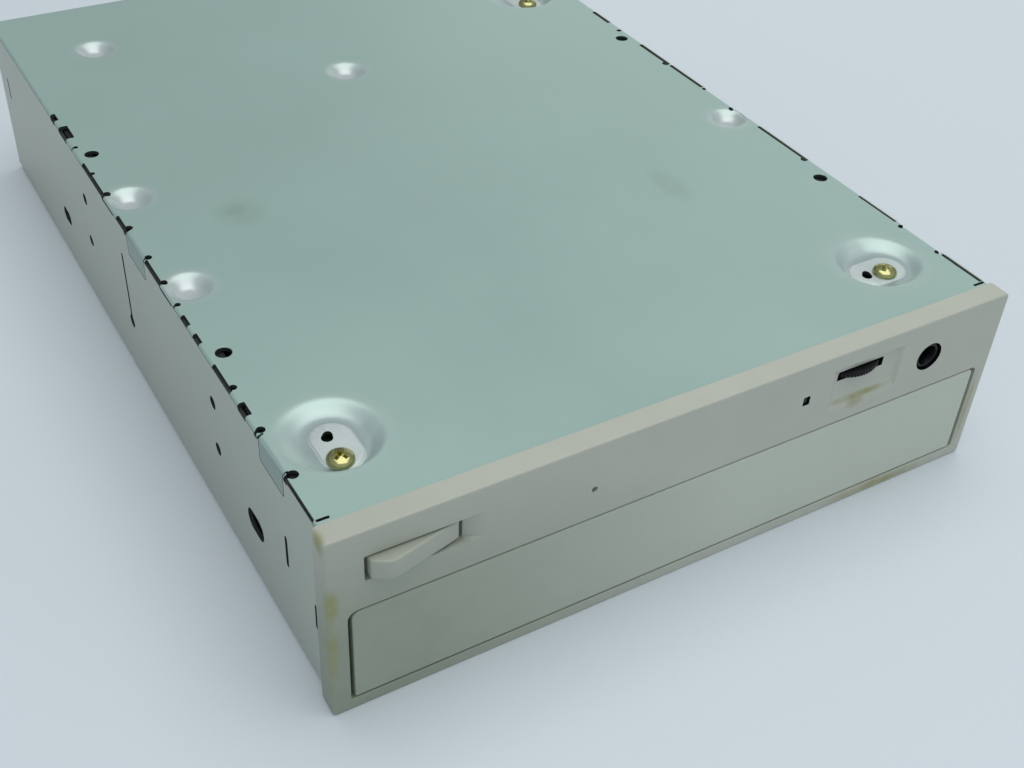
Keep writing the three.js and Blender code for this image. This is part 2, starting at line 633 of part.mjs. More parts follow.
// Moulded bezel with its openings, scoops and rear clips
function frontBezel() {
  const across = [-bezelHalf, bezelHalf];
  const up = [0, bezelHigh];
  const inset = (by) => roundedRing([across[0] + by, across[1] - by], [up[0] + by, up[1] - by], bezel.corner);
  const edgeSteps = [0, 1 / 3, 2 / 3, 1];
  const rings = [{ points: inset(0), level: 0 }];
  for (const share of edgeSteps) {
    const angle = share * Math.PI / 2;
    rings.push({
      points: inset(bezel.edge * (1 - Math.cos(angle))),
      level: bezel.thick - bezel.edge * (1 - Math.sin(angle)),
    });
  }
  let panel = loftForward(rings);
  const deep = [bezelFront - overrun, overrun];
  const opening = roundedRing(
    [-doorHalf - door.sideGap, doorHalf + door.sideGap],
    [door.low - running, door.high + running], door.corner);
  panel = panel.subtract(slabY(polygon(opening), deep));
  const buttonHole = [buttonLeft - button.gap, buttonRight + button.gap];
  const buttonUp = [buttonLow - button.gapUp, buttonHigh + button.gapUp];
  panel = panel.subtract(block(buttonHole, deep, buttonUp));
  const scoopStart = buttonHole[1];
  const scoop = polygon([
    [scoopStart - overrun, bezelFront - overrun],
    [scoopStart + buttonScoop.run * 3 / 2, bezelFront - overrun],
    [scoopStart + buttonScoop.run, bezelFront], [scoopStart, bezelFront + buttonScoop.depth],
    [scoopStart - overrun, bezelFront + buttonScoop.depth],
  ]);
  panel = panel.subtract(slab(scoop, buttonUp));
  panel = panel.subtract(barY(releaseX, deep, releaseZ, releaseHole.radius, small));
  const lightHalf = light.wide / 2 + light.play;
  const lightTall = light.tall / 2 + light.play;
  panel = panel.subtract(block(
    [lightX - lightHalf, lightX + lightHalf], deep, [lightZ - lightTall, lightZ + lightTall]));
  panel = panel.subtract(barY(jackX, deep, jackZ, jack.nose + running, coarse));
  const scoopAcross = [wheelX - wheelScoop.left, wheelX + wheelScoop.right];
  const scoopUp = [wheelLow - wheelScoop.below, wheelLow + wheelScoop.above];
  const mouth = roundedRing(scoopAcross, scoopUp, wheelScoop.slope);
  const floorRing = roundedRing(
    [scoopAcross[0] + wheelScoop.slope, scoopAcross[1] - wheelScoop.slope],
    [scoopUp[0] + wheelScoop.sill, scoopUp[1] - wheelScoop.slope / 2], wheelScoop.slope / 2);
  panel = panel.subtract(loftForward([
    { points: floorRing, level: bezel.thick - wheelScoop.depth },
    { points: mouth, level: bezel.thick },
    { points: mouth, level: bezel.thick + overrun },
  ]));
  const wheelSpan = [wheelLow - seat, wheelLow + wheel.thick + seat];
  const wheelCut = post(wheelX, wheel.y, wheelSpan, wheel.radius + running, fine);
  panel = panel.subtract(wheelCut.intersect(block([-wallOuter, wallOuter], deep, wheelSpan)));
  const inner = frameOuter - clip.thick;
  panel = panel.add(pair([inner, frameOuter], [-seat, clip.long], [clip.low, clip.high]));
  panel = panel.add(pair([inner, wallOuter - seat], [-seat, seat + clip.nose], [clip.low, clip.high]));
  return panel;
}

function trayDoor() {
  const face = (by) => roundedRing(
    [-doorHalf + by, doorHalf - by], [door.low + by, door.high - by], door.corner);
  return loftForward([
    { points: face(0), level: -doorRear },
    { points: face(0), level: bezel.thick - door.edge },
    { points: face(door.edge / 2), level: bezel.thick },
  ]);
}

// Tray with both disc dishes, a slot open at the rear, side tongues and the rack
const trayRackX = trayGearX + trayGear.teeth / 2 * trayGear.module;
function discTray() {
  const front = doorRear + seat;
  const wallRear = front + tray.wall;
  let solid = block([-trayHalf, trayHalf], [front, trayRear], [tray.low, trayHigh]);
  const wallUp = [door.low + tray.wallInset, door.high - tray.wallInset];
  solid = solid.add(block([-trayWallHalf, trayWallHalf], [front, wallRear], wallUp));
  solid = solid.add(pair(
    [trayHalf - overrun, trayHalf + tray.tongue], [tray.tongueFront, trayRear], [tongueLow, tongueHigh]));
  const under = tray.low - overrun;
  solid = solid.subtract(post(0, disc.centre, [under, dishFloor], discRadius + disc.play, fine));
  solid = solid.subtract(post(0, disc.centre, [under, innerDishFloor], disc.small + disc.play, fine));
  const slotLevels = [under, trayHigh + overrun];
  solid = solid.subtract(post(0, disc.centre, slotLevels, tray.slotHalf, fine));
  const slotRun = [disc.centre, trayRear + overrun];
  solid = solid.subtract(block([-tray.slotHalf, tray.slotHalf], slotRun, slotLevels));
  const gusset = polygon([
    [front, trayHigh], [wallRear + tray.gusset, trayHigh], [wallRear, wallUp[1]], [front, wallUp[1]],
  ]);
  for (const side of [-1, 1]) {
    const middle = side * gussetX;
    solid = solid.add(slabX(gusset, [middle - tray.gussetThick / 2, middle + tray.gussetThick / 2]));
  }
  const pitch = Math.PI * trayGear.module;
  const teeth = Math.ceil((trayTravel + rack.lead * 2) / pitch);
  const start = trayGear.y - pitch * 3 / 2;
  const thick = rack.wide - trayGear.module * (addendumShare + dedendumShare);
  const levels = [trayHigh - seat, trayHigh + rack.rise];
  return solid.add(rackBar(trayRackX, start, teeth, trayGear.module, -1, thick, levels));
}

// Moulded main frame
const pulleyAngle = pulleyGear.angleShare * 2 * Math.PI;
const gearSpacing = pulleyGear.module * (trayGear.wheelTeeth + pulleyGear.teeth) / 2;
const pulleyX = trayGearX + gearSpacing * Math.cos(pulleyAngle);
const pulleyY = trayGear.y + gearSpacing * Math.sin(pulleyAngle);
const liftMiddle = lift.low + lift.thick / 2;

function mainFrame() {
  const front = frame.front;
  const low = floorTop + seat;
  const long = [front, frameRear];
  let solid = pair([frameInner, frameOuter], long, [low, frameTop]);
  const ledgeInner = trayHalf + tray.tongue - frame.ledge;
  const ledges = [ledgeInner, frameInner + seat];
  const lowLedge = [tongueLow - running - frame.ledgeThick, tongueLow - running];
  const highLedge = [tongueHigh + running, tongueHigh + running + frame.ledgeThick];
  solid = solid.add(pair(ledges, long, lowLedge)).add(pair(ledges, long, highLedge));
  const deckSpan = [-frameInner - seat, frameInner + seat];
  const beamSpan = [frame.beam, frame.beam + frame.beamThick];
  solid = solid.add(block(deckSpan, [front, beamSpan[1]], [frame.deck, deckTop]));
  solid = solid.add(block(deckSpan, beamSpan, [frame.beamLow, slider.high + seat]));
  const guide = [beamSpan[0], beamSpan[1] + seat + slider.thick];
  const guideHalf = liftInner - overrun;
  const guideThick = slider.low - seat - frame.beamLow + frame.deckThick;
  const guideAcross = [-guideHalf, guideHalf];
  const [under, above] = [slider.low - seat, slider.high + seat];
  solid = solid.add(block(guideAcross, guide, [under - guideThick, under]));
  solid = solid.add(block(guideAcross, guide, [above, above + guideThick]));
  const rearSpan = [rearBeamY, rearBeamY + frame.rearBeamThick];
  solid = solid.add(block(deckSpan, rearSpan, [frame.rearBeamLow, boardSeat]));
  const boardInner = frameInner - frame.boardLedge;
  const ledgeUp = [boardSeat - frame.boardLedgeThick, boardSeat];
  solid = solid.add(pair([boardInner, frameInner + seat], [board.front, rearSpan[1]], ledgeUp));
  const bearingSpan = [pivotY - bearing.half, pivotY + bearing.half];
  solid = solid.add(pair([bearingInner, frameInner + seat], bearingSpan, [bearing.low, bearing.high]));
  const ledgeRear = rearRightScrew.y - frame.post;
  const shelf = [rearRightScrew.x - frame.post, frameInner + seat];
  const shelfUp = [bearing.high - frame.deckThick, bearing.high];
  solid = solid.add(block(shelf, [ledgeRear, bearingSpan[0] + seat], shelfUp));
  for (const at of plateScrews) {
    const foot = at === rearRightScrew ? bearing.high : deckTop;
    solid = solid.add(post(at.x, at.y, [foot - seat, postTop], frame.post));
  }
  for (const [x, y] of frontBosses) {
    solid = solid.add(post(x, y, [deckTop - seat, boardSeat], frame.boss, small));
  }
  const trayPin = [trayHigh + running, frame.deck + seat];
  solid = solid.add(post(trayGearX, trayGear.y, trayPin, pin, small));
  solid = solid.add(post(pulleyX, pulleyY, [trayGear.wheelLow - seat, frame.deck + seat], pin, small));
  const throughDeck = [frame.deck - overrun, deckTop + overrun];
  solid = solid.subtract(post(loadingMotorX, loadingMotor.y, throughDeck, loadingMotor.eye));
  solid = solid.subtract(barY(
    releaseX, [beamSpan[0] - overrun, beamSpan[1] + overrun], releaseZ, releaseHole.radius * 2, small));
  for (const at of plateScrews) {
    const bore = [postTop - screw.length - overrun, postTop + overrun];
    solid = solid.subtract(post(at.x, at.y, bore, screw.shank + seat, coarse));
    const rim = recess.radius + body.sheet / 2 + seat;
    solid = solid.subtract(post(at.centreX, at.centreY, [postTop, frameTop + overrun], rim, fine));
  }
  for (const [x, y] of dimples) {
    const rim = dimple.radius + body.sheet / 2 + seat;
    solid = solid.subtract(post(x, y, [dimpleUnder - seat, frameTop + overrun], rim, coarse));
  }
  const stub = lift.stub + running;
  solid = solid.subtract(barX([-frameInner, -bearingInner + overrun], pivotY, liftMiddle, stub));
  solid = solid.subtract(barX([bearingInner - overrun, frameInner], pivotY, liftMiddle, stub));
  const clipInner = frameOuter - clip.thick - seat;
  solid = solid.subtract(pair(
    [clipInner, frameOuter + overrun], [0, clip.long + running], [clip.low - seat, clip.high + seat]));
  const bridgeSpan = [disc.centre - bridge.reach - seat, disc.centre + bridge.reach + seat];
  solid = solid.subtract(pair(
    [ledgeInner - overrun, frameOuter + overrun], bridgeSpan, [0, bridge.low + bridge.thick + seat]));
  const wallSpan = [frameInner - overrun, frameOuter + overrun];
  for (const hole of [mount.first, mount.first + mount.pitch]) {
    for (const drop of [mount.high, mount.low]) {
      for (const span of [wallSpan, [-wallSpan[1], -wallSpan[0]]]) {
        solid = solid.subtract(barX(span, hole, caseHigh - drop, mount.drill / 2, small));
      }
    }
  }
  return solid;
}
const frontBosses = [
  [-frontBoardHalf * 2 / 3, frontBoard.rear - frame.boss * 2],
  [frontBoardHalf / 3, frontBoard.rear - frame.boss],
];

// Circuit boards with their larger chips on the side that faces the mechanism
function mainBoard() {
  let solid = block([-boardHalf, boardHalf], [board.front, boardRear], [boardLow, boardTop]);
  const chipLevels = [boardLow - chip.tall, boardLow + seat];
  const places = [[-1, 1], [1, 1], [-1, 2], [1, 2]];
  for (const [side, row] of places) {
    const half = (row === 1 ? chip.size : chip.second) / 2;
    const [x, y] = [side * chip.size * 3 / 2, boardRear - chip.size * (row + 1) * 2 / 2 - chip.size / 2];
    solid = solid.add(block([x - half, x + half], [y - half, y + half], chipLevels));
  }
  const hole = frame.post + running;
  const through = [boardLow - overrun, boardTop + overrun];
  return solid.subtract(post(rearRightScrew.x, rearRightScrew.y, through, hole));
}

function frontControlBoard() {
  const across = [-frontBoardHalf, frontBoardHalf];
  let solid = block(across, [frontBoard.front, frontBoard.rear], [boardLow, boardTop]);
  for (const at of [frontLeftScrew, frontRightScrew]) {
    const hole = frame.post + running;
    solid = solid.subtract(post(at.x, at.y, [boardLow - overrun, boardTop + overrun], hole));
  }
  return solid;
}

// Socket open to the rear, hung under the main board
function portShell(port) {
  const [low, high] = [portLow(port), boardSeat];
  const across = [port.x - port.wide / 2, port.x + port.wide / 2];
  const front = body.depth - port.deep;
  const shell = block(across, [front, body.depth], [low, high]);
  const hollow = block(
    [across[0] + port.wall, across[1] - port.wall], [front + port.floor, body.depth + overrun],
    [low + port.wall, high - port.wall]);
  return shell.subtract(hollow);
}

function pinRow(port, count, pitch, y, z, make) {
  const start = port.x - (count - 1) * pitch / 2;
  let row = make(start, y, z);
  for (let i = 1; i < count; i += 1) row = row.add(make(start + i * pitch, y, z));
  return row;
}

function squarePin(x, [y0, y1], z) {
  return block([x - pinHalf, x + pinHalf], [y0, y1], [z - pinHalf, z + pinHalf]);
}

// How far a socket's pins reach along Y
function pinSpan(port) {
  const root = body.depth - port.deep + port.floor;
  return [root - seat, root + (port.deep - port.floor) * pinShare];
}

function dataConnector() {
  const tips = pinSpan(dataPort);
  const middle = (portLow(dataPort) + boardSeat) / 2;
  let solid = portShell(dataPort);
  const keyWay = [body.depth - dataPort.deep / 2, body.depth + overrun];
  const keyAcross = [dataPort.x - dataPort.key / 2, dataPort.x + dataPort.key / 2];
  solid = solid.subtract(block(keyAcross, keyWay, [portLow(dataPort) - overrun, middle - pinPitch]));
  for (let row = 0; row < dataPort.rows; row += 1) {
    const z = middle + (row - 1 / 2) * pinPitch;
    solid = solid.add(pinRow(dataPort, dataPort.pins, pinPitch, tips, z, squarePin));
  }
  return solid;
}

function powerConnector() {
  const front = body.depth - powerPort.deep;
  const tips = pinSpan(powerPort);
  const middle = (portLow(powerPort) + boardSeat) / 2;
  const roundPin = (x, span, z) => barY(x, span, z, powerPort.radius, small);
  const solid = portShell(powerPort);
  const low = portLow(powerPort) + powerPort.wall;
  const half = powerPort.wide / 2 - powerPort.wall;
  const wedge = powerPort.wall * 3 / 2;
  const corner = (side) => {
    const x = powerPort.x + side * half;
    const points = [[x, low], [x - side * wedge, low], [x, low + wedge]];
    return slabY(polygon(side > 0 ? points.reverse() : points), [front + seat, body.depth]);
  };
  const row = pinRow(powerPort, powerPort.pins, powerPitch, tips, middle, roundPin);
  return solid.add(corner(-1)).add(corner(1)).add(row);
}

function audioConnector() {
  const tips = pinSpan(audioPort);
  const middle = (portLow(audioPort) + boardSeat) / 2;
  const solid = portShell(audioPort);
  return solid.add(pinRow(audioPort, audioPort.pins, pinPitch, tips, middle, squarePin));
}

function jumperBlock() {
  const [low, high] = [portLow(jumper), boardSeat];
  const rear = body.depth - dataPort.deep / 2;
  const span = [rear - jumper.deep, rear];
  let solid = block([jumper.x - jumper.wide / 2, jumper.x + jumper.wide / 2], span, [low, high]);
  for (let row = 0; row < jumper.rows; row += 1) {
    const z = (low + high) / 2 + (row - 1 / 2) * pinPitch;
    solid = solid.add(pinRow(jumper, jumper.pins, pinPitch, [rear - seat, body.depth], z, squarePin));
  }
  return solid;
}

// Controls behind the bezel
function ejectButton() {
  const rear = seat + button.flangeThick;
  const frontLeft = bezelFront - button.proud;
  const frontRight = bezelFront + button.sunk;
  const outline = polygon([
    [buttonLeft, seat], [buttonLeft, frontLeft + button.corner], [buttonLeft + button.corner / 2, frontLeft],
    [buttonLeft + button.nose, frontLeft], [buttonRight, frontRight], [buttonRight, seat],
  ]);
  let solid = slab(outline, [buttonLow, buttonHigh]);
  const wide = [buttonLeft - button.flange, buttonRight + button.flange];
  solid = solid.add(block(wide, [seat, rear], [buttonLow - button.flange, buttonHigh + button.flange]));
  const middle = (buttonLow + buttonHigh) / 2;
  return solid.add(barY(stemX, [rear - seat, rear + button.stemLong], middle, button.stem, coarse));
}

function ejectSwitch() {
  const x = stemX;
  const middle = (buttonLow + buttonHigh) / 2;
  const front = seat + button.flangeThick + button.stemLong + button.travel + seat;
  const face = front + eject.knob;
  const across = [x - eject.half, x + eject.half];
  const solid = block(across, [face, face + eject.deep], [buttonLow - seat, boardSeat]);
  return solid.add(barY(x, [front, face + seat], middle, eject.knob, small));
}

function activityLight() {
  const tip = bezelFront + light.sunk;
  const nose = block(
    [lightX - light.wide / 2, lightX + light.wide / 2], [tip, seat + light.canDeep / 2],
    [lightZ - light.tall / 2, lightZ + light.tall / 2]);
  const can = block(
    [lightX - light.can / 2, lightX + light.can / 2], [seat, seat + light.canDeep],
    [lightZ - light.can / 2, boardSeat]);
  return nose.add(can);
}

function volumeWheel() {
  const levels = [wheelLow, wheelLow + wheel.thick];
  const points = [];
  for (let i = 0; i < wheel.ribs * 2; i += 1) {
    const radius = wheel.radius - (i % 2) * wheel.rib;
    const angle = i / wheel.ribs * Math.PI;
    points.push([radius * Math.cos(angle), radius * Math.sin(angle)]);
  }
  const solid = slab(polygon(points), levels).translate([wheelX, wheel.y, 0]);
  const through = [levels[0] - overrun, levels[1] + overrun];
  return solid.subtract(post(wheelX, wheel.y, through, wheel.bore, coarse));
}

function volumePot() {
  const across = [wheelX - pot.halfWidth, wheelX + pot.halfWidth];
  const top = wheelLow - seat;
  const legFront = wheel.y + wheel.radius + running;
  const rear = legFront + pot.leg;
  let solid = block(across, [pot.front, rear], [top - pot.tall, top]);
  solid = solid.add(block(across, [legFront, rear], [top - seat, boardSeat]));
  return solid.add(post(wheelX, wheel.y, [top - seat, wheelLow + wheel.thick - seat], pot.shaft, small));
}

function headphoneJack() {
  const rear = seat + jack.deep;
  const shell = block([jackX - jack.half, jackX + jack.half], [seat, rear], [jackZ - jack.tall, boardSeat]);
  const nose = barY(jackX, [bezelFront, seat * 2], jackZ, jack.nose, coarse);
  const bore = barY(jackX, [bezelFront - overrun, rear - jack.back], jackZ, jack.bore, coarse);
  return shell.add(nose).subtract(bore);
}

// Loading train
function trayDriveGear() {
  const low = trayHigh + running;
  const pinion = gear(trayGearX, trayGear.y, trayGear.teeth, trayGear.module, 0, [low, low + trayGear.face]);
  const wheelHigh = trayGear.wheelLow + trayGear.wheelThick;
  const wheelSolid = gear(
    trayGearX, trayGear.y, trayGear.wheelTeeth, pulleyGear.module, pulleyAngle,
    [trayGear.wheelLow, wheelHigh]);
  const hub = post(trayGearX, trayGear.y, [low, pulley.low - seat], pin * 2, coarse);
  const bore = post(trayGearX, trayGear.y, [low - overrun, pulley.low + overrun], pin + seat, coarse);
  return pinion.add(wheelSolid).add(hub).subtract(bore);
}

// Flat-rimmed pulley with a square groove, as a profile of radius and level
function pulleyProfile(groove, rim, top) {
  const flange = (pulley.thick - belt) / 2 - seat / 2;
  const high = pulley.low + pulley.thick;
  return [
    [0, pulley.low], [rim, pulley.low], [rim, pulley.low + flange], [groove, pulley.low + flange],
    [groove, high - flange], [rim, high - flange], [rim, high], [0, top],
  ];
}

function beltPulleyGear() {
  const high = pulley.low + pulley.thick;
  const rim = turned(pulleyProfile(pulleyGear.groove, pulleyGear.rim, high), pulleyX, pulleyY);
  const phase = pulleyAngle + Math.PI + Math.PI / pulleyGear.teeth;
  const low = trayGear.wheelLow;
  const span = [low, pulley.low + seat];
  const toothed = gear(pulleyX, pulleyY, pulleyGear.teeth, pulleyGear.module, phase, span);
  const bore = post(pulleyX, pulleyY, [low - overrun, high + overrun], pin + seat, coarse);
  return rim.add(toothed).subtract(bore);
}

const motorLow = deckTop + seat;
const motorHigh = motorLow + loadingMotor.tall;
function motorPulley() {
  const high = pulley.low + pulley.thick;
  const rim = turned(
    pulleyProfile(pulley.groove, pulley.rim, high), loadingMotorX, loadingMotor.y, coarse);
  const shaft = [high - seat, motorLow + loadingMotor.shaftUp];
  return rim.add(post(loadingMotorX, loadingMotor.y, shaft, loadingMotor.shaft, small));
}

function loadingMotorCan() {
  const rim = loadingMotor.shaft * 2;
  const can = turned([
    [0, motorLow], [loadingMotor.radius, motorLow], [loadingMotor.radius, motorHigh - rim],
    [loadingMotor.radius - rim, motorHigh], [0, motorHigh],
  ], loadingMotorX, loadingMotor.y, coarse);
  const bore = [motorLow - overrun, motorLow + loadingMotor.shaftUp + seat];
  return can.subtract(post(loadingMotorX, loadingMotor.y, bore, loadingMotor.shaft + seat, small));
}

// Belt: the outline round both grooves, hollowed by the same outline drawn in
function beltOutline(grow) {
  const big = pulleyGear.groove + seat + grow;
  const little = pulley.groove + seat + grow;
  const [dx, dy] = [loadingMotorX - pulleyX, loadingMotor.y - pulleyY];
  const heading = Math.atan2(dy, dx);
  const spread = Math.acos((big - little) / Math.hypot(dx, dy));
  const shape = new THREE.Shape();
  shape.absarc(loadingMotorX, loadingMotor.y, little, heading - spread, heading + spread, false);
  shape.absarc(pulleyX, pulleyY, big, heading + spread, heading - spread + 2 * Math.PI, false);
  return shape;
}

function driveBelt() {
  const low = pulley.low + (pulley.thick - belt) / 2;
  const outside = slab(beltOutline(belt), [low, low + belt], coarse);
  return outside.subtract(slab(beltOutline(0), [low - overrun, low + belt + overrun], coarse));
}

// Cam slider: the lift pin runs up its sloping slot
function camSlider() {
  const front = frame.beam + frame.beamThick + seat;
  const half = pin + running;
  const strip = block([slider.left, slider.right], [front, front + slider.thick], [slider.low, slider.high]);
  const slope = Math.hypot(slider.travel, lift.drop) / slider.travel;
  const rise = half * slope;
  const [end, top] = [slider.travel + half + slider.slotRun, liftMiddle + lift.drop];
  const slot = polygon([
    [-slider.slotRun - half, liftMiddle - half], [0, liftMiddle - rise],
    [slider.travel, top - rise], [end, top - half], [end, top + half], [slider.travel, top + rise],
    [0, liftMiddle + rise], [-slider.slotRun - half, liftMiddle + half],
  ]);
  return strip.subtract(slabY(slot, [front - overrun, front + slider.thick + overrun]));
}

// Frame that tilts about its rear stubs and carries the traverse on dampers
const damperPlaces = [
  [-damperX, damperFront], [damperX, damperFront], [-damperX, damperRear], [damperX, damperRear],
];
function liftFrame() {
  const levels = [lift.low, lift.low + lift.thick];
  let solid = block([-liftHalf, liftHalf], [lift.front, liftRear], levels);
  const through = [levels[0] - overrun, levels[1] + overrun];
  solid = solid.subtract(block([-liftInner, liftInner], [lift.front + lift.bar, liftRearInner], through));
  for (const [x, y] of damperPlaces) {
    const sideX = Math.sign(x);
    const across = [sideX * padInner, sideX * (liftInner + overrun)].sort((a, b) => a - b);
    const front = y < body.depth / 2;
    const along = front ? [lift.front + seat, lift.front + lift.bar + lift.padDeep]
      : [liftRearInner - lift.padDeep - lift.bar, liftRearInner + overrun];
    solid = solid.add(block(across, along, levels));
    solid = solid.subtract(post(x, y, through, damper.eye, small));
  }
  solid = solid.add(barX([-liftHalf - lift.stubReach, -liftHalf + overrun], pivotY, liftMiddle, lift.stub));
  solid = solid.add(barX([liftHalf - overrun, liftHalf + lift.stubReach], pivotY, liftMiddle, lift.stub));
  const pinFront = frame.beam + frame.beamThick + seat * 2;
  return solid.add(barY(0, [pinFront, lift.front + overrun], liftMiddle, pin, coarse));
}

function rubberDamper(x, y) {
  const footHigh = lift.low - seat;
  const footLow = footHigh - damper.footTall;
  const capHigh = traverse.low - seat;
  const capLow = capHigh - damper.capTall;
  const solid = turned([
    [0, capLow], [damper.cap, capLow], [damper.cap, capHigh], [damper.neck, capHigh],
    [damper.neck, footLow], [damper.foot, footLow], [damper.foot, footHigh], [0, footHigh],
  ], x, y, coarse);
  return solid.subtract(post(x, y, [capLow - overrun, footHigh + overrun], damper.eye, small));
}

// Steel plate that holds the spindle motor, the rods and the sled motor
const traverseHigh = traverse.low + traverse.thick;
const sledRackX = armHalf + sledRack.root + sledGear.module * dedendumShare;
const sledGearX = sledRackX + sledGear.module * sledGear.teeth / 2;
const motorGearX = sledGearX;
const motorGearY = sledGearY + sledGear.module * (sledGear.teeth + sledMotor.teeth) / 2;
function traversePlate() {
  const across = [-traverseHalf, traverseHalf];
  let solid = block(across, [traverse.front, traverseRear], [traverse.low, traverseHigh]);
  const through = [traverse.low - overrun, traverseHigh + overrun];
  const windowFront = disc.centre + turntable.radius - seat;
  solid = solid.subtract(block([-traverse.window, traverse.window], [windowFront, windowRear], through));
  solid = solid.subtract(post(0, disc.centre, through, spindle.boss + seat));
  for (const [x, y] of damperPlaces) solid = solid.subtract(post(x, y, through, damper.neck + seat));
  for (const [end, sign] of [[rodFront, -1], [rodRear, 1]]) {
    const along = [end, end + sign * lug.thick].sort((a, b) => a - b);
    const lugs = [rodX - lug.half, rodX + lug.half];
    solid = solid.add(pair(lugs, along, [traverseHigh - seat, traverseHigh + lug.deep]));
  }
  const gearPin = [traverseHigh - seat, sledGear.low + sledGear.thick];
  return solid.add(post(sledGearX, sledGearY, gearPin, pin, small));
}

function spindleMotor() {
  const low = traverseHigh + seat;
  const can = turned([
    [0, low], [spindle.radius, low], [spindle.radius, low + spindle.tall - spindle.shaft],
    [spindle.radius - spindle.shaft, low + spindle.tall], [0, low + spindle.tall],
  ], 0, disc.centre, coarse);
  const bossSpan = [low - spindle.bossRise - traverse.thick, low + seat];
  const boss = post(0, disc.centre, bossSpan, spindle.boss, coarse);
  const bore = [low - spindle.bossRise * 2, low + spindle.tall / 2 + seat];
  return can.add(boss).subtract(post(0, disc.centre, bore, spindle.shaft + seat, small));
}

// Disc table with a centring hub that points at the clamp
const discFace = tray.low - disc.clear;
function discTable() {
  const under = discFace + turntable.thick;
  const bossTop = traverseHigh + seat - spindle.bossRise - traverse.thick;
  const solid = turned([
    [0, discFace - turntable.hubTall], [turntable.hubTip, discFace - turntable.hubTall],
    [turntable.hub, discFace], [turntable.radius, discFace], [turntable.radius, under],
    [turntable.neck, under], [turntable.neck, bossTop - running], [0, bossTop - running],
  ], 0, disc.centre);
  const shaft = [bossTop - running - seat, traverseHigh + seat + spindle.tall / 2];
  return solid.add(post(0, disc.centre, shaft, spindle.shaft, small));
}

// Strip across the case that carries the disc clamp
function clampBridge() {
  const levels = [bridge.low, bridge.low + bridge.thick];
  const [front, rear] = [disc.centre - bridge.reach, disc.centre + bridge.reach];
  let solid = block([-bridgeHalf, bridgeHalf], [front, rear], levels);
  const flute = [bridge.low - bridge.thick / 2, bridge.low + seat];
  const inner = clamp.flange + bridge.flute;
  for (const y of [front + bridge.thick, rear - bridge.thick * 2]) {
    solid = solid.add(pair([inner, bridgeHalf - bridge.flute], [y, y + bridge.thick], flute));
  }
  const eye = clamp.body + running;
  return solid.subtract(post(0, disc.centre, [levels[0] - overrun, levels[1] + overrun], eye, fine));
}

function clampPuck() {
  const flangeHigh = bridge.low - seat;
  const flangeLow = flangeHigh - clamp.flangeThick;
  const face = discFace - disc.thick - clamp.rest;
  return turned([
    [0, flangeLow], [clamp.flange, flangeLow], [clamp.flange, flangeHigh], [clamp.body, flangeHigh],
    [clamp.body, face], [clamp.hollow, face],
    [clamp.hollow, face - clamp.hollowDeep], [0, face - clamp.hollowDeep],
  ], 0, disc.centre);
}

// Pickup sled on its two rods
const armLow = traverseHigh + seat * 2;
function pickupSled() {
  const along = [sledY - sled.front, sledY + sled.rear];
  let solid = block([-sled.half, sled.half], along, [sled.low, sled.high]);
  const arms = [sledY - sled.armFront, sledY + sled.armRear];
  solid = solid.add(block([-armHalf, armHalf], arms, [armLow, armLow + sled.armThick]));
  const pitch = Math.PI * sledGear.module;
  const teeth = Math.ceil((sledTravel + sledRack.lead * 2) / pitch);
  const start = sledGearY - pitch * (teeth - sledRack.behind + 1 / 2);
  const levels = [sledGear.low, sledGear.low + sledGear.thick];
  solid = solid.add(rackBar(sledRackX, start, teeth, sledGear.module, 1, sledRack.root + seat, levels));
  const bore = rod.radius + seat;
  for (const side of [-1, 1]) {
    solid = solid.subtract(barY(side * rodX, [along[0] - overrun, along[1] + overrun], rod.z, bore, small));
  }
  const pocket = [sledY - lensHolder.front - seat, sledY + lensHolder.rear + seat];
  const pocketAcross = [-lensHolder.half - seat, lensHolder.half + seat];
  const pocketUp = [sled.low - overrun, sled.low + lensHolder.travel + running];
  return solid.subtract(block(pocketAcross, pocket, pocketUp));
}

const lensTop = discFace + lens.thick;
function lensCarrier() {
  const low = lensTop + lens.dome;
  const high = sled.low + lensHolder.travel - seat / 3;
  const along = [sledY - lensHolder.front, sledY + lensHolder.rear];
  const solid = block([-lensHolder.half, lensHolder.half], along, [high - lensHolder.thick, high]);
  const collar = post(0, sledY, [low + seat, high], lens.radius + lens.dome * 2, coarse);
  const eye = post(0, sledY, [low - overrun, high - lens.thick], lens.radius + seat / 2, coarse);
  return solid.add(collar).subtract(eye);
}

function objectiveLens() {
  const low = lensTop + lens.dome;
  return turned([
    [0, lensTop + lens.dome / 2], [lens.radius / 2, lensTop + lens.dome * 3 / 4],
    [lens.radius - seat, low + seat], [lens.radius - seat, low + seat + lens.thick],
    [0, low + seat + lens.thick],
  ], 0, sledY, coarse);
}

function guideRod(x) {
  return barY(x, [rodFront + seat, rodRear - seat], rod.z, rod.radius, small);
}

function sledWheel() {
  const levels = [sledGear.low, sledGear.low + sledGear.thick];
  const toothed = gear(sledGearX, sledGearY, sledGear.teeth, sledGear.module, Math.PI, levels);
  const through = [levels[0] - overrun, levels[1] + overrun];
  return toothed.subtract(post(sledGearX, sledGearY, through, pin + seat, coarse));
}

const sledMotorLow = sledGear.low + sledGear.thick + seat;
function sledMotorGear() {
  const levels = [sledGear.low, sledGear.low + sledGear.thick];
  const phase = -Math.PI / 2 + Math.PI / sledMotor.teeth;
  const toothed = gear(motorGearX, motorGearY, sledMotor.teeth, sledGear.module, phase, levels);
  const shaft = [levels[1] - seat, sledMotorLow + sledMotor.tall / 2];
  return toothed.add(post(motorGearX, motorGearY, shaft, sledMotor.shaft, small));
}

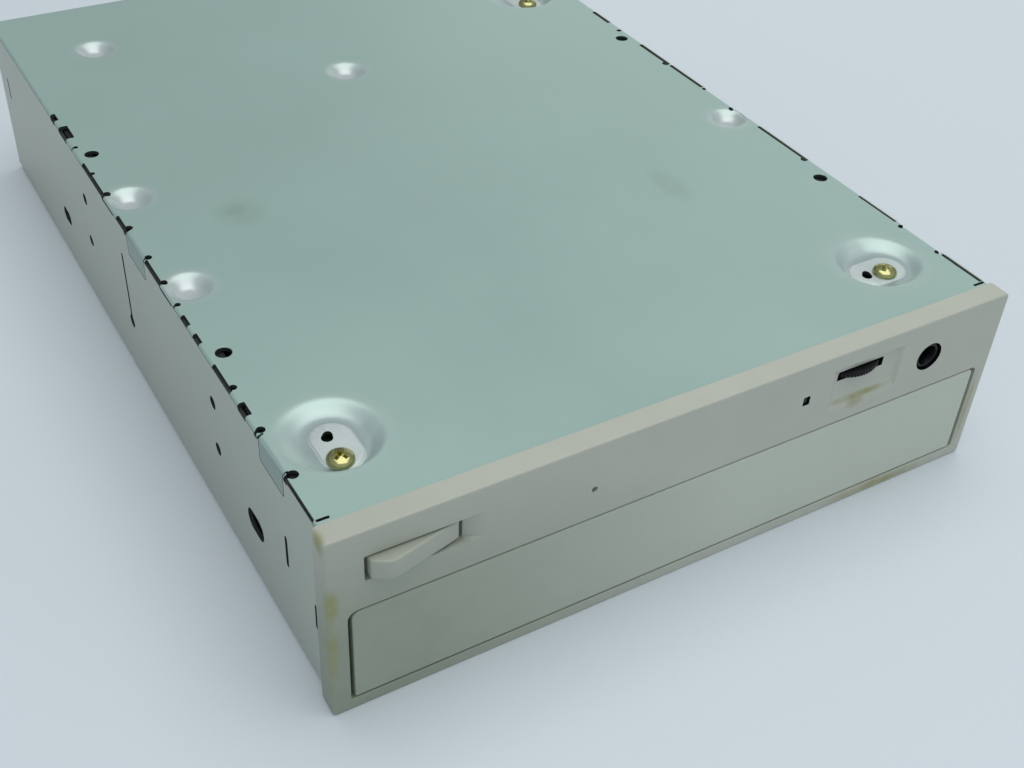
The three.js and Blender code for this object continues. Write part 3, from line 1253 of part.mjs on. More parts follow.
function sledMotorCan() {
  const canSpan = [sledMotorLow, sledMotorLow + sledMotor.tall];
  const can = post(motorGearX, motorGearY, canSpan, sledMotor.radius, coarse);
  const bore = [sledMotorLow - overrun, sledMotorLow + sledMotor.tall / 2 + seat];
  return can.subtract(post(motorGearX, motorGearY, bore, sledMotor.shaft + seat, small));
}

// Flat ribbon that joins the two boards on their inner side
function boardRibbon() {
  const high = boardSeat;
  const [from, to] = [frontBoard.rear - ribbon.foot, board.front + ribbon.foot];
  const outline = polygon([
    [from, high], [from, high - ribbon.thick], [frontBoard.rear, high - ribbon.thick],
    [(from + to) / 2, high - ribbon.thick - ribbon.sag], [board.front, high - ribbon.thick],
    [to, high - ribbon.thick], [to, high], [board.front - ribbon.thick, high],
    [(from + to) / 2, high - ribbon.sag], [frontBoard.rear + ribbon.thick, high],
  ]);
  return slabX(outline, [ribbonX - ribbon.half, ribbonX + ribbon.half]);
}

piece('top_cover', topCover(), zincSide);
piece('underside_plate', undersidePlate(), zincPlate);
piece('plate_screw_front_left', plateScrew(frontLeftScrew), goldZinc);
piece('plate_screw_front_right', plateScrew(frontRightScrew), goldZinc);
piece('plate_screw_rear_right', plateScrew(rearRightScrew), goldZinc);
piece('front_bezel', frontBezel(), beigePlastic);
piece('tray_door', trayDoor(), doorPlastic);
piece('eject_button', ejectButton(), beigePlastic);
piece('activity_light', activityLight(), amber);
piece('volume_wheel', volumeWheel(), blackPlastic);
piece('volume_pot', volumePot(), blackPlastic);
piece('headphone_jack', headphoneJack(), blackPlastic);
piece('eject_switch', ejectSwitch(), blackPlastic);
piece('main_frame', mainFrame(), greyPlastic);
piece('disc_tray', discTray(), trayPlastic);
piece('clamp_bridge', clampBridge(), steel);
piece('clamp_puck', clampPuck(), blackPlastic);
piece('lift_frame', liftFrame(), blackPlastic);
piece('traverse_plate', traversePlate(), steel);
damperPlaces.forEach(([x, y], i) => piece(`damper_${i + 1}`, rubberDamper(x, y), rubber));
piece('spindle_motor', spindleMotor(), steel);
piece('turntable', discTable(), whitePlastic);
piece('pickup_sled', pickupSled(), blackPlastic);
piece('lens_holder', lensCarrier(), blackPlastic);
piece('lens', objectiveLens(), glass);
piece('guide_rod_left', guideRod(-rodX), steel);
piece('guide_rod_right', guideRod(rodX), steel);
piece('sled_gear', sledWheel(), whitePlastic);
piece('sled_motor_gear', sledMotorGear(), whitePlastic);
piece('sled_motor', sledMotorCan(), steel);
piece('loading_motor', loadingMotorCan(), steel);
piece('motor_pulley', motorPulley(), whitePlastic);
piece('drive_belt', driveBelt(), rubber);
piece('pulley_gear', beltPulleyGear(), whitePlastic);
piece('tray_gear', trayDriveGear(), whitePlastic);
piece('cam_slider', camSlider(), whitePlastic);
piece('main_board', mainBoard(), boardGreen);
piece('front_board', frontControlBoard(), boardGreen);
piece('data_connector', dataConnector(), blackPlastic);
piece('power_connector', powerConnector(), whitePlastic);
piece('audio_connector', audioConnector(), whitePlastic);
piece('jumper_block', jumperBlock(), blackPlastic);
piece('board_ribbon', boardRibbon(), ribbonWhite);

// The box runs from the button's nose to the rear wall
drive.position.y = -(body.depth + bezelFront - button.proud) / 2;

export default drive;
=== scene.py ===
import math

import bmesh
import bpy
import numpy as np
from mathutils import Matrix, Vector
from mathutils.geometry import delaunay_2d_cdt


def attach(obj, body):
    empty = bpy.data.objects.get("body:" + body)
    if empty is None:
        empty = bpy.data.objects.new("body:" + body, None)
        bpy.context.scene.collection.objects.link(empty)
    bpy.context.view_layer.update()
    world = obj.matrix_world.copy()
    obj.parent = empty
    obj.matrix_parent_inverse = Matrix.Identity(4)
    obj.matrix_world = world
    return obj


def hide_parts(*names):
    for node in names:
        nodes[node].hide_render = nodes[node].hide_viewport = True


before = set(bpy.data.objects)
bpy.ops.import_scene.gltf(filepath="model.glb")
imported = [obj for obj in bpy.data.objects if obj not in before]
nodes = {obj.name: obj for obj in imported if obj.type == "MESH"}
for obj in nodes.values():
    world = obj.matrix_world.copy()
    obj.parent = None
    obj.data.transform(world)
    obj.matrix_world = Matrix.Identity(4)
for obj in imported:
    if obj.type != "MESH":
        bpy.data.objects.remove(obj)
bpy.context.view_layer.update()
scene = bpy.context.scene

# Sizes below are millimetres on the drive: X to the right seen from the front, Y back
# from the bezel's rear face, Z up from the bezel's lower edge. The drive lies on its
# top cover, so its underside plate faces up. to_frame() turns them into frame metres.
MM = 0.001
MIDDLE_Y = 97.75

CASE_LOW = 0.35
CASE_HIGH = 41.65
CASE_HALF = 73.0
CASE_REAR = 203.0
SHEET = 0.8
SEAM = 0.3
BEZEL_HALF = 74.0
BEZEL_HIGH = 42.0
BEZEL_FRONT = -4.5
BOARD_SEAT = 36.7
WALL_TOP = CASE_HIGH - SHEET - 0.03
OVERRUN = 2.0
SMALL_LIP = 0.15
MIN_CORNER = 0.02
MITRE_LIMIT = 0.35
POINT_GAP = 1e-5
SAME_PLACE = 1e-8
TINY = 1e-6
# Dimples of the underside plate: across from the middle, back
DIMPLES = ((-54.02, 177.4), (-2.92, 140.5), (-68.3, 106.0), (-68.3, 70.4), (68.3, 79.6))


def to_frame(points):
    """Drive millimetres to metres in the shared frame."""
    moved = np.asarray(points, float).reshape(-1, 3) * MM
    moved[:, 1] -= MIDDLE_Y * MM
    return moved


# Outlines

def turns(count):
    """Angles of evenly spaced places round a circle."""
    return np.arange(count) / count * 2 * math.pi


def polar(x, y, reach, angles):
    return np.column_stack([x + reach * np.cos(angles), y + reach * np.sin(angles)])


def ring(x, y, radius, count=32):
    """Circle as a loop of points."""
    return polar(x, y, radius, turns(count))


def rect(x0, x1, y0, y1, radius=0.0, grow=0.0, steps=5):
    """Rectangle with rounded corners. Four radii start at the far right and run anticlockwise."""
    radii = radius if isinstance(radius, (list, tuple)) else [radius] * 4
    x0, x1, y0, y1 = min(x0, x1) - grow, max(x0, x1) + grow, y0 - grow, y1 + grow
    points = []
    for corner, (px, py, sx, sy) in enumerate(
            ((x1, y1, -1, -1), (x0, y1, 1, -1), (x0, y0, 1, 1), (x1, y0, -1, 1))):
        reach = max(radii[corner] + grow, MIN_CORNER)
        for step in range(steps + 1):
            angle = (corner + step / steps) * math.pi / 2
            points.append((px + sx * reach + reach * math.cos(angle),
                           py + sy * reach + reach * math.sin(angle)))
    return np.array(points)


def obround(x, y, radius, run, along_x):
    """Straight run with round ends."""
    angles = turns(56) + math.pi / 56
    cx, cy = np.cos(angles), np.sin(angles)
    shift_x = np.sign(cx) * run if along_x else 0
    shift_y = 0 if along_x else np.sign(cy) * run
    return np.column_stack([x + radius * cx + shift_x, y + radius * cy + shift_y])


def drop(x, y, radius, point, lean):
    """Circle drawn out to a soft point on one side."""
    angles = turns(36)
    return polar(x, y, radius * (1 + point * np.maximum(np.cos(angles - lean), 0.0) ** 4), angles)


def cross_loop(x, y, half, arm, turn):
    """Outline of a cross recess."""
    quarter = [(arm, half), (half, half), (half, arm)]
    c, s = math.cos(turn), math.sin(turn)
    points = []
    for _ in range(4):
        points += [(x + a * c - b * s, y + a * s + b * c) for a, b in quarter]
        quarter = [(-b, a) for a, b in quarter]
    return np.array(points)


def area_of(points):
    x, y = np.asarray(points).T
    return 0.5 * float(np.sum(x * np.roll(y, -1) - np.roll(x, -1) * y))


def inset(points, by):
    """Outline moved inwards by a small distance, with mitred corners."""
    loop = np.asarray(points, float)
    ahead = np.roll(loop, -1, axis=0) - loop
    ahead /= np.maximum(np.linalg.norm(ahead, axis=1, keepdims=True), TINY)
    left = np.column_stack([-ahead[:, 1], ahead[:, 0]])
    inward = left + np.roll(left, 1, axis=0)
    inward /= np.maximum(np.linalg.norm(inward, axis=1, keepdims=True), TINY)
    cosine = np.sum(inward * left, axis=1)
    return loop + inward * (by / np.maximum(cosine, MITRE_LIMIT))[:, None]


def inside(points, loop):
    """Which of the points lie within the loop."""
    x, y = points[:, 0][:, None], points[:, 1][:, None]
    x0, y0 = loop[:, 0][None], loop[:, 1][None]
    x1, y1 = np.roll(loop[:, 0], -1)[None], np.roll(loop[:, 1], -1)[None]
    crosses = (y0 > y) != (y1 > y)
    rise = np.where(y1 == y0, TINY, y1 - y0)
    return np.sum(crosses & (x < (x1 - x0) * (y - y0) / rise + x0), axis=1) % 2 == 1


def smooth(share):
    """Soft step from 0 to 1."""
    share = np.clip(share, 0.0, 1.0)
    return share * share * (3 - 2 * share)


# Mesh building

class Pattern:
    """Flat pattern of a face: outer edges, holes and guide lines that its forms follow."""

    def __init__(self):
        self.points, self.depths, self.edges = [], [], []
        self.loops = {"guide": [], "outer": [], "hole": []}
        self.rim = 0

    def loop(self, points, depth=0.0, role="guide", closed=True):
        start, count = len(self.points), len(points)
        self.points += [Vector((float(p[0]), float(p[1]))) for p in points]
        self.depths += list(np.broadcast_to(np.asarray(depth, float), (count,)))
        last = count if closed else count - 1
        self.edges += [(start + i, start + (i + 1) % count) for i in range(last)]
        self.loops[role].append(np.asarray(points, float))

    def line(self, *points):
        self.loop(points, closed=False)

    def between(self, outer, inner, first, steps):
        """Guide loops from one outline to another."""
        for step in range(first, steps + 1):
            share = step / steps
            self.loop(outer * (1 - share) + inner * share)

    def hole(self, points):
        self.loop(points, role="hole")

    def soft_edge(self, shape, radius, steps, side, role):
        """Edge rounded over. shape(grow) gives its loop."""
        for step in range(steps + 1):
            angle = step / steps * math.pi / 2
            self.loop(shape(side * radius * (1 - math.sin(angle))), radius * (1 - math.cos(angle)),
                      role if step == steps else "guide")

    def soft_hole(self, shape, radius, steps=3):
        self.soft_edge(shape, radius, steps, 1, "hole")

    def soft_outer(self, shape, radius, steps=4):
        self.soft_edge(shape, radius, steps, -1, "outer")

    def solid(self, place, relief=None):
        """Closed solid. place(u, v, depth, back) maps both faces into space."""
        flat, _, faces, origins, _, _ = delaunay_2d_cdt(self.points, self.edges, [], 0, POINT_GAP)
        flat = np.array([(p.x, p.y) for p in flat])
        depth = np.array([self.depths[o[0]] if o else 0.0 for o in origins])
        if relief is not None:
            depth = depth + relief(*flat.T)
        faces = np.array([f for f in faces if len(f) == 3])
        middle = flat[faces].mean(axis=1)
        keep = np.zeros(len(faces), bool)
        for outer in self.loops["outer"]:
            keep |= inside(middle, outer)
        for hole in self.loops["hole"]:
            keep &= ~inside(middle, hole)
        used, packed = np.unique(faces[keep], return_inverse=True)
        faces = packed.reshape(-1, 3)
        flat, depth = flat[used], depth[used]
        front, back = [place(*flat.T, depth, back) for back in (False, True)]
        directed = {edge for a, b, c in faces.tolist() for edge in ((a, b), (b, c), (c, a))}
        count = len(flat)
        built = [tuple(f) for f in faces.tolist()]
        built += [(c + count, b + count, a + count) for a, b, c in faces.tolist()]
        rim = [(b, a, a + count, b + count) for a, b in sorted(directed) if (b, a) not in directed]
        self.rim = len(rim)
        return np.vstack([front, back]), built + rim


class Build:
    """Points and faces of one piece, gathered from closed shells."""

    def __init__(self):
        self.points, self.faces, self.marks, self.count = [], [], [], 0

    def add(self, shell, mark=0, rim=0, rim_mark=0):
        """Adds a shell. Its last faces, as many as rim says, get a mark of their own."""
        points, faces = shell
        points = np.asarray(points, float).reshape(-1, 3)
        self.points.append(points)
        self.faces += [tuple(i + self.count for i in face) for face in faces]
        self.marks += [mark] * (len(faces) - rim) + [rim_mark] * rim
        self.count += len(points)
        return self


def turn_to(points, axis, centre=(0, 0, 0)):
    """Points made about Z moved so that Z lies along an axis of the drive."""
    order = {"x": (2, 0, 1), "y": (0, 2, 1), "z": (0, 1, 2)}[axis]
    return np.asarray(points, float)[:, order] + np.asarray(centre, float)


def lathe(profile, centre=(0, 0, 0), axis="z", sides=48):
    """Profile of (radius, level) turned about an axis. It starts and ends on the axis."""
    angles = turns(sides)
    points, rows = [], []
    for radius, level in profile:
        if radius <= TINY:
            rows.append([len(points)])
            points.append((0, 0, level))
        else:
            rows.append(list(range(len(points), len(points) + sides)))
            points += [(radius * math.cos(a), radius * math.sin(a), level) for a in angles]
    faces = []
    for low, high in zip(rows, rows[1:]):
        for i in range(sides):
            j = (i + 1) % sides
            corners = [low[i % len(low)], low[j % len(low)], high[j % len(high)], high[i % len(high)]]
            face = tuple(dict.fromkeys(corners))
            if len(face) > 2:
                faces.append(face)
    return turn_to(points, axis, centre), faces


def prism(outline, span, axis="z", edge=0.2, steps=2):
    """Outline carried along an axis with both rims rounded over."""
    low, high = span
    outline = np.asarray(outline, float)
    if area_of(outline) < 0:
        outline = outline[::-1]
    count = len(outline)
    levels = []
    for step in range(steps + 1):
        angle = step / steps * math.pi / 2
        levels.append((edge * (1 - math.sin(angle)), low + edge * (1 - math.cos(angle))))
    levels += [(by, low + high - level) for by, level in reversed(levels)]
    points = []
    for by, level in levels:
        loop = inset(outline, by) if by > TINY else outline
        points += [(x, y, level) for x, y in loop]
    faces = []
    for row in range(len(levels) - 1):
        for i in range(count):
            j = (i + 1) % count
            a = row * count
            faces.append((a + i, a + j, a + count + j, a + count + i))
    faces += [tuple(reversed(range(count))), tuple(range(len(points) - count, len(points)))]
    return turn_to(points, axis), faces


def block(x, y, z, edge=0.15, corner=0.0):
    """Box from three spans, every edge softened."""
    outline = rect(*x, *y, max(corner, edge), steps=2)
    return prism(outline, z, "z", edge)


def tuned(thing, **settings):
    """Data block, node or modifier with its settings made."""
    for name, value in settings.items():
        setattr(thing, name, value)
    return thing


def added(name, data):
    """New object in the scene."""
    piece = bpy.data.objects.new(name, data)
    scene.collection.objects.link(piece)
    return piece


def even_normals(piece):
    """Keeps large flat faces flat in the shading of a softened piece."""
    tuned(piece.modifiers.new("even_normals", "WEIGHTED_NORMAL"), keep_sharp=True, weight=100)


def make(node, suffix, build, finishes, body="case", sharp=35.0):
    """Adds a piece to the scene, riding on its body in place of the frame's node."""
    name = f"{node}_{suffix}"
    mesh = bpy.data.meshes.new(name)
    mesh.from_pydata(to_frame(np.vstack(build.points)).tolist(), [], build.faces)
    for each in finishes:
        mesh.materials.append(each)
    mesh.polygons.foreach_set("material_index", build.marks)
    work = bmesh.new()
    work.from_mesh(mesh)
    bmesh.ops.remove_doubles(work, verts=work.verts, dist=SAME_PLACE)
    bmesh.ops.recalc_face_normals(work, faces=work.faces)
    work.to_mesh(mesh)
    work.free()
    mesh.shade_smooth()
    mesh.set_sharp_from_angle(angle=math.radians(sharp))
    piece = added(name, mesh)
    even_normals(piece)
    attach(piece, body)
    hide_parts(node)
    return piece


def repaint(piece, index, test):
    """Gives plain faces whose middle passes the test another of the piece's materials."""
    for polygon in piece.data.polygons:
        c = polygon.center / MM
        if polygon.material_index == 0 and test(c.x, c.y + MIDDLE_Y, c.z):
            polygon.material_index = index


# Materials

# The mix node's sockets for colours
COLOUR_A, COLOUR_B, COLOUR_OUT = 6, 7, 2
SURFACE_IOR = 1.46
BUMP_HEIGHT = 0.05
PATCH_SCALE = 260.0
# Scratches: stretch of the noise, and where in it they begin and end
SCRATCHES = (((60.0, 4.0, 60.0), 0.6, 0.75), ((5.0, 70.0, 60.0), 0.62, 0.78))


def wired(tree, kind, sockets, **settings):
    """New node. Each of the named sockets is linked to an output or set to a value."""
    node = tuned(tree.nodes.new("ShaderNode" + kind), **settings)
    for socket, value in sockets.items():
        if isinstance(value, bpy.types.NodeSocket):
            tree.links.new(value, node.inputs[socket])
        else:
            node.inputs[socket].default_value = value
    return node


def noise_of(tree, vector, scale, detail=3.0, rough=0.55):
    """Noise in metres on the object, as a factor from 0 to 1."""
    return wired(tree, "TexNoise", {"Scale": scale, "Detail": detail, "Roughness": rough,
                                    "Vector": vector}).outputs["Fac"]


def spread(tree, factor, low, high, from_low=0.3, from_high=0.7):
    """Factor carried from one range to another."""
    return wired(tree, "MapRange", {"From Min": from_low, "From Max": from_high, "To Min": low,
                                    "To Max": high, "Value": factor}).outputs["Result"]


def stretched(tree, vector, stretch):
    return wired(tree, "Mapping", {"Scale": stretch, "Vector": vector}).outputs["Vector"]


def mixed(tree, factor, first, second):
    """Colour between two, each a colour or the output of a node."""
    first, second = [c if isinstance(c, bpy.types.NodeSocket) else (*c, 1.0) for c in (first, second)]
    sockets = {"Factor": factor, COLOUR_A: first, COLOUR_B: second}
    return wired(tree, "Mix", sockets, data_type="RGBA").outputs[COLOUR_OUT]


def worked(tree, operation, a, b):
    """Sum or product of an output and an output or number."""
    return wired(tree, "Math", {0: a, 1: b}, operation=operation).outputs["Value"]


def scaled(colour, by):
    return tuple(min(1.0, c * by) for c in colour)


def tone(red, green, blue):
    """Linear colour of an 8 bit display tone."""
    def channel(value):
        value /= 255
        return value / 12.92 if value <= 0.04045 else ((value + 0.055) / 1.055) ** 2.4
    return (channel(red), channel(green), channel(blue))


def scratched(tree, place, strength):
    """Fine marks along and across, as extra roughness."""
    marks = []
    for stretch, low, high in SCRATCHES:
        lines = noise_of(tree, stretched(tree, place, stretch), 30.0, 6.0, 0.7)
        marks.append(worked(tree, "MULTIPLY", spread(tree, lines, 0.0, 1.0, low, high), strength))
    return worked(tree, "ADD", *marks)


def stained_or_lit(tree, place, colour, stain_or_painted_light):
    """Colour with one stain, painted highlight or painted shade: its centre, reach, strength, colour and
    how patchy it is.
    """
    centre, reach, strength, stain_or_light_colour, patchiness = stain_or_painted_light
    spot = tuple(s * 1000 / r for s, r in zip(to_frame([centre])[0], reach))
    away = wired(tree, "VectorMath", {0: stretched(tree, place, tuple(1000 / r for r in reach)), 1: spot},
                 operation="DISTANCE")
    mask = spread(tree, away.outputs["Value"], strength, 0.0, 0.25, 1.0)
    patchy = spread(tree, noise_of(tree, place, PATCH_SCALE, 2.0), 1.0 - patchiness, 1.0, 0.35, 0.6)
    return mixed(tree, worked(tree, "MULTIPLY", mask, patchy), colour, stain_or_light_colour)


def finish(name, colour, rough=0.5, metal=0.0, vary=0.1, blotch=90.0, grain=2400.0,
           bump=0.2, scratch=0.0, rough_vary=0.06, coat=0.0, shine=0.5, stains_and_painted_light=()):
    """Procedural material with blotches, grain, scratches, stains, painted highlights and shade, and a
    fine bump.
    """
    material = bpy.data.materials.new(name)
    material.use_nodes = True
    tree = material.node_tree
    shader = tree.nodes["Principled BSDF"]
    for socket, value in (("Metallic", metal), ("IOR", SURFACE_IOR), ("Specular IOR Level", shine),
                          ("Coat Weight", coat)):
        shader.inputs[socket].default_value = value
    place = wired(tree, "TexCoord", {}).outputs["Object"]
    soft = noise_of(tree, place, blotch, 4.0)
    fine = noise_of(tree, place, grain, 2.0)
    colour_out = mixed(tree, spread(tree, soft, 0.0, 1.0), scaled(colour, 1 - vary),
                       scaled(colour, 1 + vary))
    colour_out = mixed(tree, spread(tree, fine, 0.0, 0.35), colour_out, scaled(colour, 1 - vary * 2))
    for stain_or_painted_light in stains_and_painted_light:
        colour_out = stained_or_lit(tree, place, colour_out, stain_or_painted_light)
    tree.links.new(colour_out, shader.inputs["Base Color"])
    rough_out = spread(tree, soft, max(0.02, rough - rough_vary), min(1.0, rough + rough_vary))
    if scratch:
        rough_out = worked(tree, "ADD", rough_out, scratched(tree, place, scratch))
    tree.links.new(rough_out, shader.inputs["Roughness"])
    relief = wired(tree, "Bump", {"Strength": bump, "Distance": BUMP_HEIGHT * MM, "Height": fine})
    tree.links.new(relief.outputs["Normal"], shader.inputs["Normal"])
    return material


# Stains and painted light and shade: centre, reach, strength, colour and patchiness. Glue marks and
# smudges are patchy
OLIVE = tone(148, 148, 88)
SMUDGE = tone(140, 166, 150)
# Painted shade: darker blue grey at the foot of each recess slope round the screw land
PAINTED_FOOT_SHADE = tone(122, 138, 146)
# Painted highlight: a whitish sheen that stands in for the reflections on the pressed recess slopes and
# dimples
PAINTED_SHEEN = tone(206, 210, 211)
# Painted shade: bezel and door darker and greener towards the left end and the bottom
PAINTED_LEFT_SHADE = tone(146, 154, 138)
EVEN, FAINT_PATCHES, PATCHY = 0.06, 0.1, 0.5
PLATE_STAINS_AND_LIGHT = (
    ((-50, 91, 41.6), (6, 7, 4), 0.45, SMUDGE, PATCHY),
    ((37.6, 60.6, 41.6), (4, 9, 4), 0.35, SMUDGE, PATCHY),
    # Painted highlight: whitish sheen over the screw recesses and the dimples
    *[((x, y, 41.0), (12, 12, 9), 0.6, PAINTED_SHEEN, FAINT_PATCHES) for x, y in ((-62, 19.0), (58.3, 16.5), (60, 163.0))],
    *[((x, y, 41.0), (6.5, 6.5, 9), 0.9, PAINTED_SHEEN, FAINT_PATCHES) for x, y in DIMPLES],
    # Painted shade at the foot of the recess slopes
    ((-62, 17.6, 40.0), (7.4, 8.6, 6), 0.85, PAINTED_FOOT_SHADE, FAINT_PATCHES),
    ((57.8, 15.6, 40.0), (8.4, 7.2, 6), 0.85, PAINTED_FOOT_SHADE, FAINT_PATCHES),
    ((59.9, 161.6, 40.0), (7.4, 8.6, 6), 0.85, PAINTED_FOOT_SHADE, FAINT_PATCHES),
)
BEZEL_STAINS_AND_SHADE = (
    # Painted shade, darkest at the left end and low down
    ((-78, -4.5, 8), (84, 60, 40), 1.0, PAINTED_LEFT_SHADE, EVEN),
    ((-74, -2.4, 40.6), (1.6, 2.4, 3.0), 1.0, OLIVE, PATCHY),
    ((-73.4, -4.4, 27.6), (1.9, 1.9, 5.0), 1.0, OLIVE, PATCHY),
    ((-73.6, -4.4, 16.0), (1.6, 1.9, 11.0), 0.7, OLIVE, PATCHY),
    ((38, -3.8, 29.6), (9.5, 3.0, 0.9), 0.9, OLIVE, PATCHY),
    ((37.0, -4.0, 28.3), (2.6, 3.0, 1.8), 0.8, OLIVE, PATCHY),
    ((71.9, -4.5, 13.0), (0.9, 3.0, 12.0), 0.9, OLIVE, PATCHY),
    ((50, -4.5, 1.3), (16.0, 3.0, 1.7), 0.8, OLIVE, PATCHY),
)
# Painted shade, darker towards the door's left end
DOOR_PAINTED_SHADE = (((-78, -4.5, 12), (90, 60, 60), 0.85, PAINTED_LEFT_SHADE, EVEN),)
ZINC_PLATE = finish("zinc_plate", tone(174, 200, 192), 0.36, 0.45, 0.03, 14.0, 2600.0, 0.12,
                    scratch=0.08, rough_vary=0.04, stains_and_painted_light=PLATE_STAINS_AND_LIGHT)
# Dark raw cut edges of the sheets, also painted shade where these rims show in the edge notches
CUT_EDGE_SHADE = finish("cut_edge_shade", tone(52, 58, 56), 0.6, 0.3, 0.1, 200.0)
ZINC_SIDE = finish("zinc_side", tone(184, 191, 180), 0.42, 0.7, 0.06, 18.0, bump=0.12, scratch=0.1)
# Painted shade: a darker copy of the plate's zinc for the folded tabs' faces
ZINC_FOLD_SHADE = finish("zinc_fold_shade", tone(156, 172, 164), 0.45, 0.6, 0.08, 90.0, bump=0.12, scratch=0.1)
# Paler, whiter zinc for the screw lands
ZINC_PALE = finish("zinc_pale", tone(206, 216, 214), 0.5, 0.5, 0.05, 120.0, 3200.0, scratch=0.08)
BEZEL_PLASTIC = finish("bezel_plastic", tone(189, 191, 179), 0.48, vary=0.035, blotch=60.0, bump=0.35,
                       stains_and_painted_light=BEZEL_STAINS_AND_SHADE)
DOOR_PLASTIC = finish("door_plastic", tone(196, 203, 189), 0.48, vary=0.03, blotch=60.0, bump=0.35,
                      stains_and_painted_light=DOOR_PAINTED_SHADE)
GOLD_ZINC = finish("gold_zinc", tone(178, 176, 124), 0.14, 1.0, 0.08, 500.0, 5000.0, rough_vary=0.08)
BLACK_PLASTIC = finish("black_plastic", tone(16, 17, 20), 0.38, blotch=80.0, bump=0.3, shine=0.25)
# Near black, painted shade: the main frame's own colour is unseen; it is dark so the gaps under the
# plate's notches read as shade
GREY_PLASTIC = finish("grey_plastic", tone(24, 25, 27), 0.6, blotch=60.0, bump=0.3)
TRAY_PLASTIC = finish("tray_plastic", tone(52, 54, 58), vary=0.06, blotch=50.0, bump=0.35)
WHITE_PLASTIC = finish("white_plastic", tone(224, 221, 208), 0.42, vary=0.03, blotch=70.0)
STEEL = finish("steel", tone(190, 194, 197), 0.28, 1.0, 0.05, 90.0, 3000.0, scratch=0.08)
PIN_GOLD = finish("pin_gold", tone(222, 190, 104), 0.25, 1.0, 0.06, 300.0, 3000.0, 0.1)
RUBBER = finish("rubber", tone(38, 38, 42), 0.85, grain=3200.0, bump=0.5)
BOARD_GREEN = finish("board_green", tone(28, 74, 48), 0.4, vary=0.08, coat=0.4)
LENS_GLASS = finish("lens_glass", tone(96, 112, 170), 0.06, blotch=300.0, bump=0.02, coat=1.0)
DARK_WINDOW = finish("dark_window", tone(30, 30, 28), 0.25, vary=0.05, blotch=300.0, bump=0.05,
                     shine=0.3)
RIBBON_WHITE = finish("ribbon_white", tone(222, 219, 206), 0.5, vary=0.04)


# Underside plate

RECESS_DEPTH = 1.5
LAND_RAISE = 0.3
LAND_STEP = 0.5
UPPER_FACE = 0.4
SLOPE_SHARE = 0.72
RECESSES = {
    "front_left": dict(screw=(-62.8, 13.5), land=(-61.8, 17.2), run=2.3, radius=3.45, along_x=False,
                       mouth=(-62.1, 19.2), reach=9.7, pilot=(-62.5, 19.6)),
    "front_right": dict(screw=(58.0, 14.0), land=(57.2, 15.3), run=2.4, radius=3.6, along_x=True,
                        mouth=(58.5, 16.6), reach=9.3, pilot=(54.1, 14.8)),
    "rear_right": dict(screw=(59.6, 158.1), land=(59.9, 161.2), run=2.3, radius=3.45, along_x=False,
                       mouth=(60.0, 163.1), reach=9.5, pilot=(59.9, 163.8)),
}
RECESS_STEPS = 12
SCREW_HOLE = 1.6
PILOT = 1.05
PILOT_POINT = 0.65
PILOT_LEAN = math.radians(61)
DIMPLE_RADIUS = 5.0
DIMPLE_DEPTH = 1.9
DIMPLE_SLOPE = 0.78
DIMPLE_RINGS = (1.1, 1.01, 0.93, 0.84, 0.75, 0.66, 0.57, 0.48, 0.39, 0.3, 0.22, 0.1)
MOUNT_ROWS = (48.0, 127.25)
MOUNT_INSET = 3.15
MOUNT_HOLE = 1.55
TABS = ((13.9, 24.0), (83.4, 94.0))
TAB_DROP = 5.3
TAB_GAP = 0.2
TAB_CORNER = 0.5
STRIP_LAP = 0.5
STRIP_CORNER = 0.06
STRIP_END = 0.07
FOLD = 1.05
FOLD_START = CASE_HALF - FOLD
FOLD_ARC = FOLD * math.pi / 2
FOLD_LINES = (0, 0.2, 0.4, 0.6, 0.8, 1)
EDGE_TURN = 0.55
EDGE_LINES = (1.0, 0.75, 0.5, 0.3, 0.12, 0.03)
NOTCH_CORNER = 0.2
# Notches in the plate's edges: from, to, depth from the wall's outer face
LEFT_NOTCHES = (
    (145.3, 148.6, 1.1), (136.0, 142.0, 2.0), (108.9, 124.1, 0.6), (94.4, 100.4, 0.65),
    (73.2, 82.4, 0.6), (58.4, 61.9, 0.8), (52.3, 55.5, 0.85), (36.9, 45.5, 0.6),
    (29.7, 33.4, 1.3), (1.6, 12.4, 0.3),
)
RIGHT_NOTCHES = (
    (136.7, 144.3, 1.35), (109.5, 121.9, 1.35), (95.3, 108.6, 1.25), (55.4, 73.0, 1.2),
    (26.4, 38.0, 1.0), (1.6, 12.4, 1.2),
)
# Small round reliefs that end them: across from the middle, back, radius
LEFT_BLOBS = (
    (72.1, 131.5, 0.55), (72.2, 119.0, 0.6), (72.0, 109.6, 0.85), (72.0, 95.0, 0.85),
    (72.0, 83.1, 0.8), (72.1, 73.6, 0.75), (72.2, 65.5, 0.6), (72.0, 37.9, 0.75),
    (72.0, 25.3, 0.85), (71.6, 12.7, 1.05),
)
RIGHT_BLOBS = (
    (71.8, 131.5, 0.6), (71.7, 110.0, 0.9), (72.2, 94.3, 0.6), (72.0, 83.0, 0.8),
    (71.9, 56.0, 0.8), (72.0, 24.4, 0.7), (72.0, 13.5, 0.75),
)
SIDE_EDGES = ((-1, LEFT_NOTCHES, LEFT_BLOBS), (1, RIGHT_NOTCHES, RIGHT_BLOBS))
CORNER_SLIT = (-72.6, -70.3, 0.95, 1.55)
RIGHT_SLIT = (69.8, 72.6, 0.85, 1.45)
CURL = 0.45
CURL_END = 0.2


def beyond_land(u, v, at):
    """Distance outside the land of a recess."""
    du, dv, run = u - at["land"][0], v - at["land"][1], at["run"]
    if at["along_x"]:
        du = du - np.clip(du, -run, run)
    else:
        dv = dv - np.clip(dv, -run, run)
    return np.hypot(du, dv) - at["radius"]


